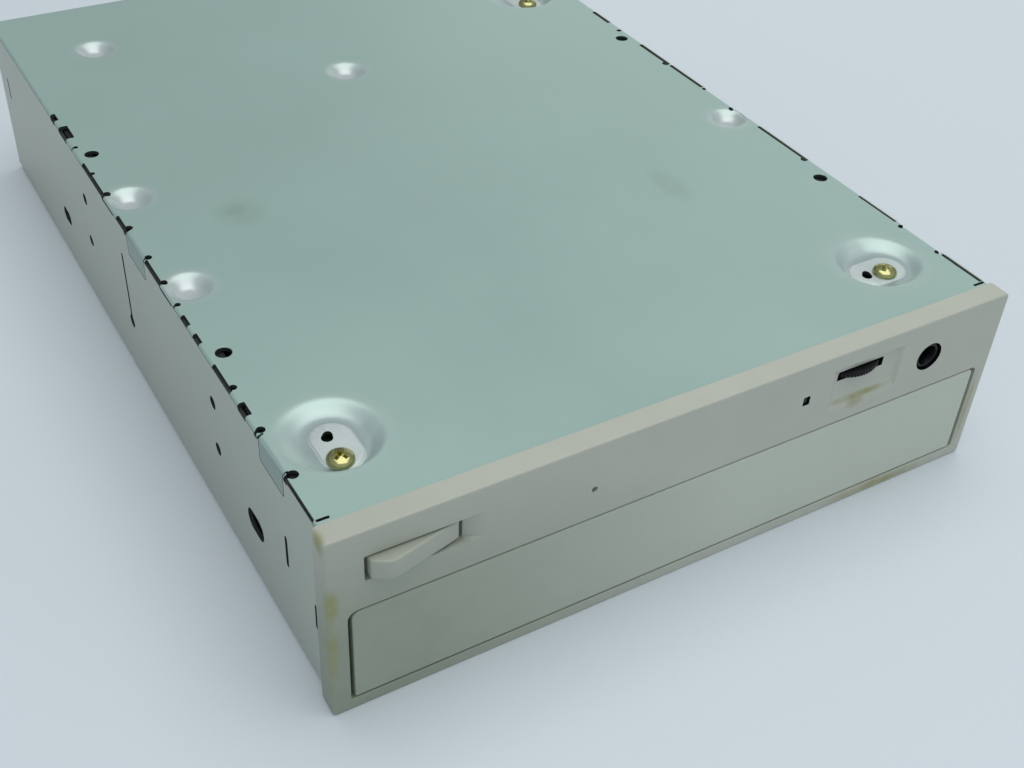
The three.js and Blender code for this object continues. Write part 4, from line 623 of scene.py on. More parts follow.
def plate_relief(u, v):
    """How far the plate is pressed in."""
    depth = np.zeros_like(u)
    for at in RECESSES.values():
        within = at["reach"] - np.hypot(u - at["mouth"][0], v - at["mouth"][1])
        beyond = beyond_land(u, v, at)
        share = np.where(beyond <= 0, 1.0, within / np.maximum(within + beyond, TINY))
        pressed = RECESS_DEPTH * smooth(share / SLOPE_SHARE)
        pressed -= LAND_RAISE * smooth(1 - beyond / LAND_STEP)
        depth = np.maximum(depth, np.where(within > 0, pressed, 0.0))
    for x, y in DIMPLES:
        away = np.hypot(u - x, v - y) / DIMPLE_RADIUS
        depth = np.maximum(depth, DIMPLE_DEPTH * smooth((1 - away) / DIMPLE_SLOPE))
    return depth


def in_tab(v):
    """Which places along a side edge belong to a folded tab."""
    found = np.zeros(v.shape, bool)
    for start, end in TABS:
        found |= (v > start - TAB_GAP) & (v < end + TAB_GAP)
    return found


def plate_place(u, v, depth, back):
    """Flat plate with turned edges, whose tabs fold down over the side walls."""
    low = depth + (SHEET if back else 0.0)
    over = np.abs(u) - FOLD_START
    angle = np.clip(over / FOLD, 0.0, math.pi / 2)
    radius = FOLD - low
    straight = np.maximum(over - FOLD_ARC, 0.0)
    bent = (over > 0) & in_tab(v)
    x = np.where(bent, np.sign(u) * (FOLD_START + radius * np.sin(angle)), u)
    edge = np.clip(np.abs(u) - (CASE_HALF - EDGE_TURN), 0.0, EDGE_TURN)
    turned = 0.0 if back else EDGE_TURN - np.sqrt(EDGE_TURN ** 2 - edge ** 2)
    z = np.where(bent, CASE_HIGH - FOLD + radius * np.cos(angle) - straight, CASE_HIGH - low - turned)
    return np.column_stack([x, v, z])


def between_tabs():
    """Runs of the side edges that aren't folded."""
    starts = [SEAM] + [end + 2 * TAB_GAP for _, end in TABS]
    ends = [start - 2 * TAB_GAP for start, _ in TABS] + [CASE_REAR]
    return list(zip(starts, ends))


def plate_edges(flat):
    """Outer outline of the plate: a middle, plain edge strips and folded tabs."""
    tab_end = FOLD_START + FOLD_ARC + TAB_DROP - FOLD
    flat.loop(rect(-FOLD_START, FOLD_START, SEAM, CASE_REAR, steps=1), role="outer")
    for side in (-1, 1):
        for start, end in between_tabs():
            flat.loop(rect(side * (FOLD_START - STRIP_LAP), side * CASE_HALF, start, end, STRIP_CORNER,
                           steps=2), role="outer")
            for share in EDGE_LINES:
                u = side * (CASE_HALF - EDGE_TURN * share)
                flat.line((u, start + STRIP_END), (u, end - STRIP_END))
        for start, end in TABS:
            flat.loop(rect(side * (FOLD_START - STRIP_LAP), side * tab_end, start, end, TAB_CORNER,
                           steps=4), role="outer")
            for share in FOLD_LINES:
                u = side * (FOLD_START + FOLD_ARC * share)
                flat.line((u, start), (u, end))


def recess_lines(flat, at):
    """Guide loops and holes of one screw recess."""
    def mouth(grow):
        return obround(*at["mouth"], at["reach"] + grow, 0.0, at["along_x"])

    def land(share):
        return obround(*at["land"], at["radius"] + LAND_STEP * share, at["run"], at["along_x"])
    for grow in (0.5, 0.05):
        flat.loop(mouth(grow))
    flat.between(mouth(0), land(1), 1, RECESS_STEPS)
    for share in (0.75, 0.5, 0.25, 0.0):
        flat.loop(land(share))
    flat.hole(ring(*at["screw"], SCREW_HOLE, 24))
    flat.hole(drop(*at["pilot"], PILOT, PILOT_POINT, PILOT_LEAN))


def underside_plate():
    """Plate with its recesses, dimples, holes, notches and tabs."""
    flat = Pattern()
    plate_edges(flat)
    for at in RECESSES.values():
        recess_lines(flat, at)
    for x, y in DIMPLES:
        for share in DIMPLE_RINGS:
            flat.loop(ring(x, y, DIMPLE_RADIUS * share, 40))
    for row in MOUNT_ROWS:
        for side in (-1, 1):
            x = side * (CASE_HALF - MOUNT_INSET)
            flat.soft_hole(lambda grow: ring(x, row, MOUNT_HOLE + grow, 28), SMALL_LIP, 2)
    for side, notches, blobs in SIDE_EDGES:
        for start, end, depth in notches:
            flat.hole(rect(side * (CASE_HALF - depth), side * (CASE_HALF + OVERRUN), start, end,
                           NOTCH_CORNER, steps=3))
        for x, y, radius in blobs:
            flat.hole(ring(side * x, y, radius, 20))
            flat.hole(rect(side * x, side * (CASE_HALF + CURL_END), y - CURL * radius,
                           y + CURL * radius, 0.05, steps=1))
    for slit in (CORNER_SLIT, RIGHT_SLIT):
        flat.hole(rect(*slit, SMALL_LIP, steps=2))
    sheet = flat.solid(plate_place, plate_relief)
    # Rim faces get the dark cut-edge colour: raw cut edges, and painted shade in the notches
    piece = make("underside_plate", "sheet", Build().add(sheet, rim=flat.rim, rim_mark=3),
                 [ZINC_PLATE, ZINC_PALE, ZINC_FOLD_SHADE, CUT_EDGE_SHADE], sharp=40)

    def on_land(x, y, z):
        return z > CASE_HIGH - SHEET - RECESS_DEPTH + UPPER_FACE and any(
            beyond_land(x, y, at) < LAND_STEP for at in RECESSES.values())
    # The screw lands take the paler zinc
    repaint(piece, 1, on_land)
    # Painted shade: the folded tabs' faces take the darker zinc
    repaint(piece, 2, lambda x, y, z: abs(x) > CASE_HALF - FOLD / 2 and z < CASE_HIGH - EDGE_TURN)


# Screws

SCREW_HEAD = 2.45
SCREW_LOW = CASE_HIGH - RECESS_DEPTH + LAND_RAISE + 0.05
SCREW_TALL = 1.5
SCREW_DOME = 1.15
DOME_POWER = 2.1
HEAD_RINGS = (1.0, 0.985, 0.95, 0.9, 0.83, 0.75, 0.66)
# Cross recess from its mouth down: half width, arm, depth
CROSS = ((0.42, 1.5, 0.0), (0.34, 1.42, 0.12), (0.22, 0.9, 0.8), (0.15, 0.5, 0.9))
SCREW_TURN = math.radians(30)
SCREW_TIP = 31.8
THREAD = 0.55
THREAD_ROOT, THREAD_CREST = 0.98, 1.28
SHANK = 1.25
TIP_RADIUS = 0.8


def plate_screw(name, x, y):
    """Domed pan head with a tapering cross recess on a threaded shank."""
    head = Pattern()
    for share in HEAD_RINGS:
        head.loop(ring(x, y, SCREW_HEAD * share, 48), role="outer" if share == 1 else "guide")
    for half, arm, depth in CROSS:
        head.loop(cross_loop(x, y, half, arm, SCREW_TURN), depth)

    def dome(u, v):
        share = np.clip(np.hypot(u - x, v - y) / SCREW_HEAD, 0, 1)
        return SCREW_DOME * (1 - np.sqrt(np.maximum(1 - share ** DOME_POWER, 0.0)))

    def place(u, v, depth, back):
        level = np.full_like(u, SCREW_LOW) if back else SCREW_LOW + SCREW_TALL - depth
        return np.column_stack([u, v, level])
    build = Build().add(head.solid(place, dome))
    profile = [(0, SCREW_TIP), (TIP_RADIUS, SCREW_TIP)]
    level = SCREW_TIP + 0.2
    while level < SCREW_LOW - THREAD:
        profile += [(THREAD_ROOT, level), (THREAD_CREST, level + THREAD / 2)]
        level += THREAD
    profile += [(SHANK, SCREW_LOW - 0.05), (SHANK, SCREW_LOW + 0.1), (0, SCREW_LOW + 0.1)]
    build.add(lathe(profile, (x, y, 0), "z", 24))
    make(name, "head", build, [GOLD_ZINC], sharp=38)


# Top cover

BEND = 1.3
REAR_GAP = 0.35
CORNER_SLIT_WIDE = 0.25
BEND_ARC = BEND * math.pi / 2
BEND_LINES = (-0.1, *FOLD_LINES, 1.15)
SIDE_START = CASE_HALF - BEND
REAR_START = CASE_REAR - BEND
PRESSED = 0.25
PRESSED_SLOPE = 1.6
PRESSED_RING = (0.0, 110.0, 34.0)
WALL_HOLE = 1.35
WALL_HOLES = ((47.8, 31.2), (127.0, 31.2), (47.8, 19.81), (127.8, 19.81))
# Openings in both side walls: from, to, low, high, corner
WALL_SLOTS = (
    (99.8, 100.85, 15.3, 32.8, 0.5), (14.15, 15.25, 18.9, 26.3, 0.5), (26.2, 33.8, 13.1, 17.9, 2.3),
    (147.0, 153.0, 12.2, 15.8, 1.75), (194.6, 195.5, 24.0, 30.0, 0.43), (-1.0, 3.3, 14.9, 20.7, 0.3),
)
SLOT_FOOT = (100.5, 15.1, 1.5)
VENTS = (-40, -20, 0, 20, 40)
VENT = (6.0, 9.0, 10.6, 0.7)
PORT_PLAY = 0.4
PORT_OVERRUN = 3.0
# Which notches and reliefs of the plate's left edge also cut the wall, and how far down
NOTCH_DEEP = 0.9
BLOB_WIDE = 0.8
BLOB_SHARE = 0.8
BLOB_CORNER = 0.4
NOTCH_DROP = 0.5
DIMPLE_HALF = 3.4
DIMPLE_DROP = 0.4
LIP = 0.3
LIP_TOP = CASE_HIGH - 0.1


def cover_place(u, v, depth, back):
    """Floor with both sides and the rear folded up."""
    inner = depth + (SHEET if back else 0.0)
    radius = BEND - inner
    side_over = np.abs(u) - SIDE_START
    rear_over = np.where(side_over > TINY, -1.0, v - REAR_START)
    over = np.maximum(side_over, rear_over)
    angle = np.clip(over / BEND, 0.0, math.pi / 2)
    up = np.where(over > 0, CASE_LOW + BEND - radius * np.cos(angle) + np.maximum(over - BEND_ARC, 0.0),
                  CASE_LOW + inner)
    reach = radius * np.sin(angle)
    x = np.where(side_over > TINY, np.sign(u) * (SIDE_START + reach), u)
    y = np.where(rear_over > 0, REAR_START + reach, v)
    return np.column_stack([x, y, up])


def up_the_side(z, start=SIDE_START):
    """Where a height on a folded wall lies on the flat sheet."""
    return start + (BEND_ARC + z - CASE_LOW - BEND)


def up_the_rear(z):
    return up_the_side(z, REAR_START)


def cover_relief(u, v):
    """Shallow round pressing over the disc."""
    x, y, reach = PRESSED_RING
    return PRESSED * smooth((reach - np.hypot(u - x, v - y)) / PRESSED_SLOPE)


def side_wall(flat, side, notches, blobs):
    """Openings of one side wall."""
    def on_wall(y0, y1, z0, z1, corner):
        flat.hole(rect(side * up_the_side(z0), side * up_the_side(z1), y0, y1, corner, steps=4))

    def open_top(y0, y1, low, corner):
        on_wall(y0, y1, low, CASE_HIGH + OVERRUN, corner)

    def round_hole(y, z, radius):
        flat.hole(ring(side * up_the_side(z), y, radius, 24))
    for row, z in WALL_HOLES:
        round_hole(row, z, WALL_HOLE)
    for slot in WALL_SLOTS:
        on_wall(*slot)
    round_hole(*SLOT_FOOT)
    for from_y, to_y in TABS:
        open_top(from_y - TAB_GAP, to_y + TAB_GAP, CASE_HIGH - TAB_DROP - TAB_GAP, TAB_CORNER + 0.1)
    for from_y, to_y, depth in notches:
        if side < 0 and depth > NOTCH_DEEP:
            open_top(from_y, to_y, WALL_TOP - NOTCH_DROP, NOTCH_CORNER)
    for _, y, radius in blobs:
        if side < 0 and radius > BLOB_WIDE:
            half = radius * BLOB_SHARE
            open_top(y - half, y + half, WALL_TOP - NOTCH_DROP, BLOB_CORNER)
    for x, y in DIMPLES:
        if abs(x) > CASE_HALF - DIMPLE_RADIUS and x * side > 0:
            open_top(y - DIMPLE_HALF, y + DIMPLE_HALF, WALL_TOP - DIMPLE_DROP, NOTCH_CORNER)


def top_cover():
    """Cover with its walls, ports, vents and the thin lips behind the right edge's notches."""
    flat = Pattern()
    side_top, rear_top = up_the_side(WALL_TOP), up_the_rear(BOARD_SEAT)
    slit, edge = SIDE_START + CORNER_SLIT_WIDE, SIDE_START - REAR_GAP
    right = [(side_top, SEAM), (side_top, CASE_REAR), (slit, CASE_REAR),
             (slit, REAR_START + 0.2), (edge, REAR_START - 0.4), (edge, rear_top)]
    left = [(-x, y) for x, y in reversed(right)]
    flat.loop(right + left, role="outer")
    for share in BEND_LINES:
        for side in (-1, 1):
            u = side * (SIDE_START + BEND_ARC * share)
            end = CASE_REAR - 0.01 if share > 0.2 else REAR_START - 0.45
            flat.line((u, SEAM), (u, end))
        v = REAR_START + BEND_ARC * share
        flat.line((-edge, v), (edge, v))
    x, y, reach = PRESSED_RING
    for inward in (0.0, 0.2, 0.5, 0.8, 1.1, 1.4, PRESSED_SLOPE):
        flat.loop(ring(x, y, reach - inward, 96))
    for edge_forms in SIDE_EDGES:
        side_wall(flat, *edge_forms)
    for port in (AUDIO, JUMPER, DATA, POWER):
        x, half = port["x"], port["wide"] / 2 + PORT_PLAY
        low = up_the_rear(BOARD_SEAT - port["tall"] - PORT_PLAY)
        flat.hole(rect(x - half, x + half, low, rear_top + PORT_OVERRUN, 0.5, steps=3))
    half, low, high, corner = VENT
    for x in VENTS:
        flat.hole(rect(x - half, x + half, up_the_rear(low), up_the_rear(high), corner))
    shell = flat.solid(cover_place, cover_relief)
    # Rim faces get the dark cut-edge colour, partly painted shade where the wall tops show in the notches
    build = Build().add(shell, rim=flat.rim, rim_mark=1)
    for start, end, _ in RIGHT_NOTCHES:
        build.add(block((CASE_HALF - LIP, CASE_HALF), (start + 0.1, end - 0.1),
                        (WALL_TOP - SHEET, LIP_TOP), 0.06))
    piece = make("top_cover", "shell", build, [ZINC_SIDE, CUT_EDGE_SHADE], sharp=40)
    # Painted shade: the lips' inner faces get the dark cut-edge colour
    repaint(piece, 1, lambda x, y, z: x < CASE_HALF - LIP + 0.03 and z > WALL_TOP)


# Bezel and its controls

BEZEL_CORNER = 0.9
BEZEL_EDGE = 0.4
DOOR = (-69.7, 70.15, 3.0, 24.2)
DOOR_CORNERS = (1.0, 1.5, 0.3, 0.6)
DOOR_THICK = 2.4
DOOR_OPENING = (-70.45, 71.1, 2.6, 24.55)
OPENING_CORNERS = (1.4, 1.9, 0.4, 0.8)
BUTTON = (-66.5, -49.75, 31.5, 35.75)
BUTTON_OPENING = (-67.3, -48.75, 30.7, 36.3)
BUTTON_PROUD = 2.4
# Outline of the button's nose: distance from its left end, distance in front of the bezel
NOSE = ((0, 0.45), (0.08, 0.75), (0.3, 1.0), (0.7, 1.2), (2.0, 1.95), (2.4, 2.15), (2.8, 2.3), (3.2, 2.38),
        (3.7, BUTTON_PROUD), (4.3, 2.34), (5.0, 2.2))
RAMP_END = -44.4
RAMP_DEPTH = 1.3
RAMP_CURVE = 1.8
RAMP_LIP = 0.3
WHEEL = (36.9, 2.8)
WHEEL_RADIUS = 8.0
WHEEL_RIBS = 72
RIB_DEPTH = 0.22
RIB_SHAPE = 0.6
# Rings on the wheel's faces: radius, points, depth
WHEEL_RINGS = ((7.45, 96, 0.0), (6.2, 64, 0.0), (5.9, 64, 0.25), (3.2, 48, 0.25), (3.0, 48, 0.0))
WHEEL_BORE = 1.8
WHEEL_SPAN = (35.1, 36.5)
WHEEL_MOUTH = (29.4, 47.3, 27.7, 38.4)
WHEEL_FLOOR = (31.0, 45.9, 31.0, 37.6)
WHEEL_SLOT = (31.3, 42.6, 34.8, 36.8)
WHEEL_SUNK = 0.7
JACK = (55.0, 32.8)
JACK_OPENING = 3.15
JACK_NOSE = 2.85
LIGHT = (22.85, 24.35, 32.45, 34.35)
RELEASE = (-23.4, 31.45)
RELEASE_RADIUS = 0.6
# Clip of the bezel's sides: inner face, outer face, nose, then its height
CLIP_INNER, CLIP_OUTER, CLIP_NOSE = 70.4, 71.9, 72.7
CLIP_UP = (15.3, 20.3)
PAINT_EDGE = 0.05


def facing(front, rear, inward=1):
    """Placing of a piece whose pattern looks along Y, with its face at front."""
    def place(u, v, depth, back):
        return np.column_stack([u, np.full_like(u, rear) if back else front + inward * depth, v])
    return place


def scoop_share(u, v):
    """How deep in the volume scoop a place on the face lies, from 0 to 1."""
    (ml, mr, mb, mt), (fl, fr, fb, ft) = WHEEL_MOUTH, WHEEL_FLOOR
    shares = ((u - ml) / (fl - ml), (mr - u) / (mr - fr), (v - mb) / (fb - mb), (mt - v) / (mt - ft))
    return smooth(np.minimum.reduce(shares))


def bezel_relief(u, v):
    """Thumb scoop beside the eject button and the scoop round the volume wheel."""
    _, start, low, high = BUTTON_OPENING
    run = np.clip((RAMP_END - u) / (RAMP_END - start), 0.0, 1.0)
    lip = np.clip(np.minimum(v - low, high - v) / RAMP_LIP, 0.0, 1.0)
    on_ramp = (u > start - 0.4) & (u < RAMP_END)
    return np.where(on_ramp, RAMP_DEPTH * run ** RAMP_CURVE * lip, 0.0) + WHEEL_SUNK * scoop_share(u, v)


def front_bezel():
    """Panel with its openings, scoops and side clips."""
    face = Pattern()
    face.soft_outer(lambda grow: rect(-BEZEL_HALF, BEZEL_HALF, 0, BEZEL_HIGH, BEZEL_CORNER, grow),
                    BEZEL_EDGE)
    face.soft_hole(lambda grow: rect(*DOOR_OPENING, OPENING_CORNERS, grow), 0.2)
    left, right, low, high = BUTTON_OPENING
    face.soft_hole(lambda grow: rect(left, right, low, high, 0.35, grow - 0.1), 0.1, 2)
    for grow in (0.0, -RAMP_LIP / 2, -RAMP_LIP):
        face.loop(rect(right - 0.3, RAMP_END + 0.3 + grow, low, high, 0.02, grow, 1))
    for share in (0.05, 0.2, 0.4, 0.6, 0.8, 0.95):
        x = right + (RAMP_END - right) * share
        face.line((x, low), (x, high))
    face.soft_hole(lambda grow: ring(*RELEASE, RELEASE_RADIUS + grow, 24), SMALL_LIP)
    face.soft_hole(lambda grow: ring(*JACK, JACK_OPENING + grow, 48), 0.1, 2)
    face.soft_hole(lambda grow: rect(*LIGHT, 0.2, grow), 0.12)
    face.between(rect(*WHEEL_MOUTH, 0.9), rect(*WHEEL_FLOOR, 0.5), 0, 10)
    face.soft_hole(lambda grow: rect(*WHEEL_SLOT, 0.35, grow, 4), 0.12, 2)
    build = Build().add(face.solid(facing(BEZEL_FRONT, 0.0), bezel_relief))
    for side in (-1, 1):
        for outer_face, end in ((CLIP_OUTER, 9.0), (CLIP_NOSE, 0.9)):
            build.add(block((side * CLIP_INNER, side * outer_face), (-0.3, end), CLIP_UP, 0.2))
    piece = make("front_bezel", "moulding", build, [BEZEL_PLASTIC, BLACK_PLASTIC])
    # Painted shade: the walls of the wheel slot, light window and jack opening are painted black
    for x0, x1, z0, z1 in (WHEEL_SLOT, LIGHT):
        repaint(piece, 1, lambda x, y, z: x0 - PAINT_EDGE < x < x1 + PAINT_EDGE
                and z0 - PAINT_EDGE < z < z1 + PAINT_EDGE)
    repaint(piece, 1, lambda x, y, z: math.hypot(x - JACK[0], z - JACK[1]) < JACK_OPENING + 0.02)


def tray_door():
    """The tray's own plain front."""
    face = Pattern()
    face.soft_outer(lambda grow: rect(*DOOR, DOOR_CORNERS, grow), 0.3, 3)
    build = Build().add(face.solid(facing(BEZEL_FRONT, BEZEL_FRONT + DOOR_THICK)))
    make("tray_door", "moulding", build, [DOOR_PLASTIC], "tray")


def eject_button():
    """Wedge with a rounded nose, proud at its left end and sunk at its right."""
    left, right, low, high = BUTTON
    sunk, root = BEZEL_FRONT + 0.7, 0.4
    outline = [(left, -3.2)] + [(left + run, BEZEL_FRONT - proud) for run, proud in NOSE]
    outline += [(right - 0.35, sunk - 0.06), (right - 0.08, sunk + 0.06), (right, sunk + 0.35),
                (right, root), (left, root)]
    build = Build().add(prism(outline, (low, high), "z", 0.4, 4))
    build.add(block((left - 1, right + 1), (0.3, 1.5), (low - 1, high + 1), 0.15))
    stem = [(0, 1.2), (1.6, 1.2), (1.6, 3.5), (1.4, 3.7), (0, 3.7)]
    build.add(lathe(stem, (left + 7.5, 0, (low + high) / 2), "y", 32))
    make("eject_button", "moulding", build, [BEZEL_PLASTIC], "button", 45)


def volume_wheel():
    """Thumbwheel with fine ribs and rounded rims."""
    x, y = WHEEL
    angles = turns(WHEEL_RIBS * 4)
    wave = 0.5 + 0.5 * np.cos(angles * WHEEL_RIBS)
    reach = WHEEL_RADIUS - RIB_DEPTH * (1 - wave ** RIB_SHAPE)
    disc = Pattern()
    disc.loop(polar(x, y, reach, angles), role="outer")
    for radius, count, depth in WHEEL_RINGS:
        disc.loop(ring(x, y, radius, count), depth)
    disc.hole(ring(x, y, WHEEL_BORE, 32))

    def place(u, v, depth, back):
        round_off = np.where(np.hypot(u - x, v - y) > WHEEL_RADIUS - 0.5, 0.2, 0.0)
        low, high = WHEEL_SPAN
        z = low + depth + round_off if back else high - depth - round_off
        return np.column_stack([u, v, z])
    make("volume_wheel", "disc", Build().add(disc.solid(place)), [BLACK_PLASTIC],
         "wheel", 50)


def headphone_jack():
    """Barrel with a bore and a contact ring in front of a moulded box."""
    x, z = JACK
    front, bore, face = BEZEL_FRONT + 0.5, 1.8, 1.2
    build = Build()
    build.add(lathe([(0, 4.0), (bore, 4.0), (bore, front + 1.3), (bore + 0.3, front + 0.9),
                     (bore + 0.3, front + 0.2), (bore + 0.45, front), (JACK_NOSE - 0.2, front),
                     (JACK_NOSE, front + 0.2), (JACK_NOSE, face), (0, face)], (x, 0, z), "y", 56))
    build.add(block((x - 4.3, x + 4.3), (1.0, 10.3), (z - 3.9, BOARD_SEAT), 0.3, 0.5))
    contact = [(0, 3.95), (bore - 0.01, 3.95), (bore - 0.01, 3.0), (bore - 0.35, 3.0),
               (bore - 0.35, 3.6), (0, 3.6)]
    build.add(lathe(contact, (x, 0, z), "y", 40), 1)
    make("headphone_jack", "body", build, [BLACK_PLASTIC, STEEL], sharp=40)


# Rear sockets

DATA = dict(x=16.0, wide=58.0, tall=9.0, deep=10.6, wall=1.3, floor=2.2)
POWER = dict(x=58.0, wide=20.8, tall=10.8, deep=10.6, wall=1.3, floor=2.6)
AUDIO = dict(x=-46.0, wide=12.6, tall=6.6, deep=8.6, wall=1.0, floor=1.8)
JUMPER = dict(x=-28.0, wide=7.6, tall=5.1, inset=5.3)
FLOOR_LAP = 0.02
PIN_PITCH = 2.54
POWER_PITCH = 5.08
PIN_HALF = 0.32
PIN_ROOT = 0.3
PIN_TIP = 0.6
DATA_PIN, POWER_PIN, AUDIO_PIN = 5.88, 5.6, 4.7
TWO_ROWS = (-0.5, 0.5)
DATA_KEY = 4.4
POWER_WEDGE = 1.95


def socket_shell(port, key=None, wedge=0.0):
    """Shell open to the rear, with a closed front wall."""
    x0, x1 = port["x"] - port["wide"] / 2, port["x"] + port["wide"] / 2
    z0, z1 = BOARD_SEAT - port["tall"], BOARD_SEAT
    wall, front = port["wall"], CASE_REAR - port["deep"]
    a, b, c, d = x0 + wall, x1 - wall, z0 + wall, z1 - wall

    def mouth(grow):
        if not wedge:
            return rect(a, b, c, d, 0.3, grow, 3)
        return np.array([(b + grow, d + grow), (a - grow, d + grow), (a - grow, c + wedge),
                         (a + wedge, c - grow), (b - wedge, c - grow), (b + grow, c + wedge)])
    face = Pattern()
    face.soft_outer(lambda grow: rect(x0, x1, z0, z1, 0.4, grow, 4), 0.25, 2)
    face.soft_hole(mouth, 0.2, 2)
    if key:
        face.hole(rect(port["x"] - key / 2, port["x"] + key / 2, z0 - 1, c + 0.4, 0.1, steps=2))
    floor = front + port["floor"]
    build = Build().add(face.solid(facing(CASE_REAR, floor - FLOOR_LAP, -1)))
    build.add(block((x0, x1), (front, floor), (z0, z1), 0.25, 0.4))
    return build, floor, (z0 + z1) / 2


def square_pin(x, z, start, end):
    """Square pin with a tapered tip."""
    points, faces = [], []
    for half, y in ((PIN_HALF, start), (PIN_HALF, end - PIN_TIP), (PIN_HALF * 0.45, end)):
        points += [(x + a * half, y, z + b * half) for a, b in ((-1, -1), (1, -1), (1, 1), (-1, 1))]
    for a in (0, 4):
        faces += [(a + i, a + (i + 1) % 4, a + 4 + (i + 1) % 4, a + 4 + i) for i in range(4)]
    faces += [(3, 2, 1, 0), (8, 9, 10, 11)]
    return points, faces


def pin_places(x, count, pitch):
    """Middles of a row of pins."""
    start = x - (count - 1) * pitch / 2
    return [start + i * pitch for i in range(count)]


def pin_socket(name, port, plastic, rows, count, long, key=None):
    """Socket with rows of square pins."""
    build, floor, middle = socket_shell(port, key)
    for row in rows:
        for x in pin_places(port["x"], count, PIN_PITCH):
            build.add(square_pin(x, middle + row * PIN_PITCH, floor - PIN_ROOT, floor + long), 1)
    make(name, "body", build, [plastic, PIN_GOLD])


def power_connector():
    """Socket with two slanted corners and four round pins."""
    build, floor, middle = socket_shell(POWER, wedge=POWER_WEDGE)
    root, tip = floor - PIN_ROOT, floor + POWER_PIN
    pin = [(0, root), (1.05, root), (1.05, tip - 0.7), (0.85, tip - 0.2), (0.5, tip), (0, tip)]
    for x in pin_places(POWER["x"], 4, POWER_PITCH):
        build.add(lathe(pin, (x, 0, middle), "y", 24), 1)
    make("power_connector", "body", build, [WHITE_PLASTIC, STEEL])


def jumper_block():
    """Three pairs of pins in a block."""
    rear = CASE_REAR - JUMPER["inset"]
    low = BOARD_SEAT - JUMPER["tall"]
    middle = (low + BOARD_SEAT) / 2
    build = Build()
    for x in pin_places(JUMPER["x"], 3, PIN_PITCH):
        build.add(block((x - 1.26, x + 1.26), (rear - 2.5, rear), (low, BOARD_SEAT), 0.25, 0.5))
        for row in TWO_ROWS:
            build.add(square_pin(x, middle + row * PIN_PITCH, rear - PIN_ROOT, CASE_REAR), 1)
    make("jumper_block", "body", build, [BLACK_PLASTIC, PIN_GOLD])


# Pieces kept from the frame

LOOKS = (
    (DARK_WINDOW, "light_window", "activity_light"),
    (BLACK_PLASTIC, "black_plastic",
     "volume_pot eject_switch clamp_puck lift_frame pickup_sled lens_holder"),
    # Painted shade: the main frame is near black so the gaps beneath the plate read dark
    (GREY_PLASTIC, "grey_plastic", "main_frame"),
    (TRAY_PLASTIC, "tray_plastic", "disc_tray"),
    (STEEL, "steel", "clamp_bridge traverse_plate spindle_motor sled_motor loading_motor "
                     "guide_rod_left guide_rod_right"),
    (WHITE_PLASTIC, "white_plastic", "turntable sled_gear sled_motor_gear motor_pulley pulley_gear "
                                     "tray_gear cam_slider"),
    (LENS_GLASS, "lens_glass", "lens"),
    (RUBBER, "rubber", "drive_belt damper_1 damper_2 damper_3 damper_4"),
    (BOARD_GREEN, "board_green", "main_board front_board"),
    (RIBBON_WHITE, "ribbon_white", "board_ribbon"),
)
SOFT_EDGE = 0.12
SOFT_EDGES = {"main_frame": 0.25, "disc_tray": 0.3}
WELD_GAP = 0.002
FLAT_ANGLE = math.radians(1.5)
EDGE_ANGLE = math.radians(40)


def soften(piece, width):
    """Welds a kept piece and rounds its edges a little."""
    tuned(piece.modifiers.new("weld", "WELD"), merge_threshold=WELD_GAP * MM)
    tuned(piece.modifiers.new("flat_faces", "DECIMATE"), decimate_type="DISSOLVE", angle_limit=FLAT_ANGLE)
    tuned(piece.modifiers.new("soft_edges", "BEVEL"), width=width * MM, segments=2,
          limit_method="ANGLE", angle_limit=EDGE_ANGLE)
    piece.data.shade_smooth()
    even_normals(piece)


def finish_kept():
    """Finishes every piece of the frame that is still shown."""
    look_of = {name: (material, slot) for material, slot, names in LOOKS for name in names.split()}
    for name, piece in nodes.items():
        if not piece.hide_render:
            material, slot = look_of[name]
            piece.data.materials.clear()
            piece.data.materials.append(material)
            soften(piece, SOFT_EDGES.get(name, SOFT_EDGE))


# Floor, light and camera

FLOOR_SIZE = 6.0
FLOOR_TONE = tone(217, 225, 232)
AIR_TONE = (0.88, 0.95, 1.0, 1.0)
AIR_LEVEL = 0.33
AIR_SLOPE = 0.35
AIR_SIDE = (0.0, -0.5, 0.87)
CAMERA_PLACE = Vector((-0.1268316, -0.2363815, 0.1906401))
CAMERA_RIGHT = Vector((0.86212566, -0.50471582, 0.04473574))
CAMERA_DOWN = Vector((-0.28850439, -0.5615448, -0.77552089))
CAMERA_AHEAD = Vector((0.41653878, 0.65569, -0.62973491))
CAMERA_LENS = 47.035
CAMERA_SENSOR = 36.0
CAMERA_CLIP = (0.01, 20.0)


def lamp(name, place, aim, size, watts, colour):
    """Rectangular light aimed at a place."""
    data = tuned(bpy.data.lights.new(name, "AREA"), shape="RECTANGLE", size=size[0], size_y=size[1],
                 energy=watts, color=colour)
    tuned(added(name, data), location=place, rotation_mode="QUATERNION",
          rotation_quaternion=(Vector(aim) - Vector(place)).to_track_quat("-Z", "Y"))


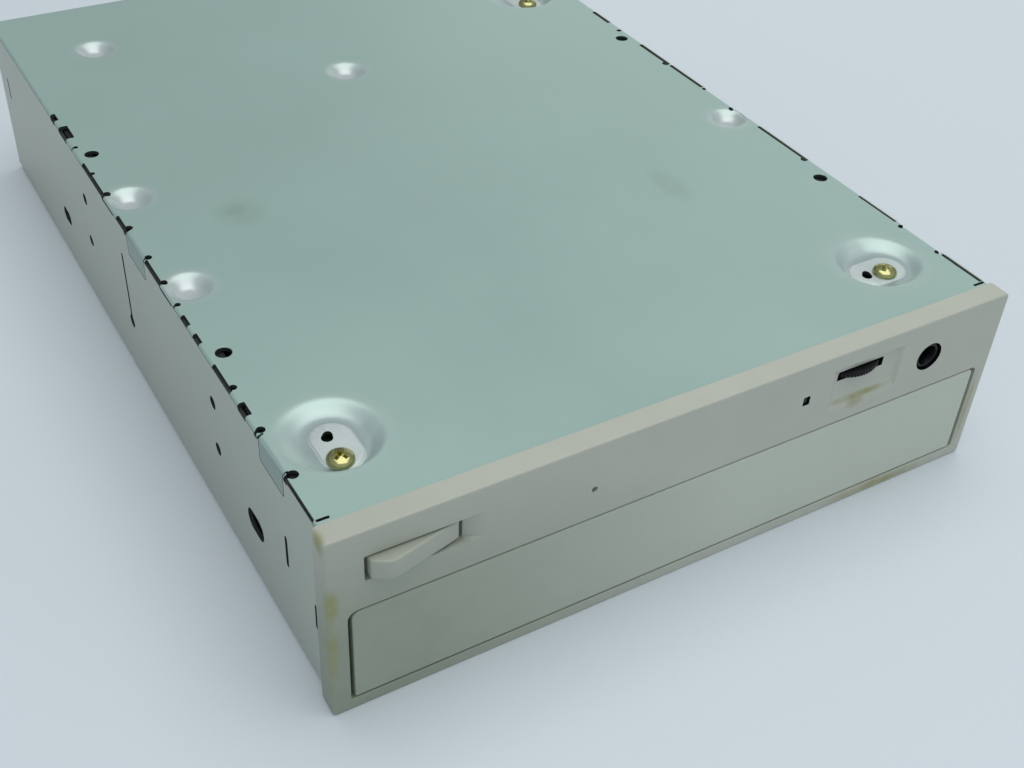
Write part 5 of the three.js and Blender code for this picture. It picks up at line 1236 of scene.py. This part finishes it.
def studio():
    """Pale floor, soft air that is brighter above, one broad lamp and one faint one."""
    bpy.ops.mesh.primitive_plane_add(size=FLOOR_SIZE, location=(0, 0, 0))
    floor = bpy.context.object
    floor.name = "studio_floor"
    floor.data.materials.append(finish("floor_paper", FLOOR_TONE, 0.4, vary=0.012, blotch=3.0,
                                       grain=900.0, bump=0.02, rough_vary=0.03))
    scene.world = bpy.data.worlds.new("studio_air")
    scene.world.use_nodes = True
    tree = scene.world.node_tree
    air = tree.nodes["Background"]
    air.inputs["Color"].default_value = AIR_TONE
    ahead = wired(tree, "TexCoord", {}).outputs["Generated"]
    upward = wired(tree, "VectorMath", {0: ahead, 1: AIR_SIDE}, operation="DOT_PRODUCT")
    bright = spread(tree, upward.outputs["Value"], AIR_LEVEL - AIR_SLOPE, AIR_LEVEL + AIR_SLOPE,
                    -1.0, 1.0)
    tree.links.new(bright, air.inputs["Strength"])
    lamp("key_light", (0.16, -0.05, 1.5), (0, 0, 0), (1.5, 1.5), 11.0, (1.0, 0.99, 0.96))
    lamp("far_light", (1.0, 0.95, 0.35), (0, 0, 0.04), (1.0, 0.6), 1.0, (1.0, 0.99, 0.97))


def camera():
    """Camera at the photograph's viewing angle."""
    data = tuned(bpy.data.cameras.new("photo_camera"), lens=CAMERA_LENS, sensor_width=CAMERA_SENSOR,
                 clip_start=CAMERA_CLIP[0], clip_end=CAMERA_CLIP[1])
    piece = added("photo_camera", data)
    turn = Matrix((CAMERA_RIGHT, -CAMERA_DOWN, -CAMERA_AHEAD)).transposed().to_4x4()
    piece.matrix_world = Matrix.Translation(CAMERA_PLACE) @ turn
    scene.camera = piece


underside_plate()
for corner, recess in RECESSES.items():
    plate_screw("plate_screw_" + corner, *recess["screw"])
top_cover()
front_bezel()
tray_door()
eject_button()
volume_wheel()
headphone_jack()
pin_socket("data_connector", DATA, BLACK_PLASTIC, TWO_ROWS, 20, DATA_PIN, DATA_KEY)
power_connector()
pin_socket("audio_connector", AUDIO, WHITE_PLASTIC, (0,), 4, AUDIO_PIN)
jumper_block()
finish_kept()
studio()
camera()
scene.view_settings.view_transform = "Standard"
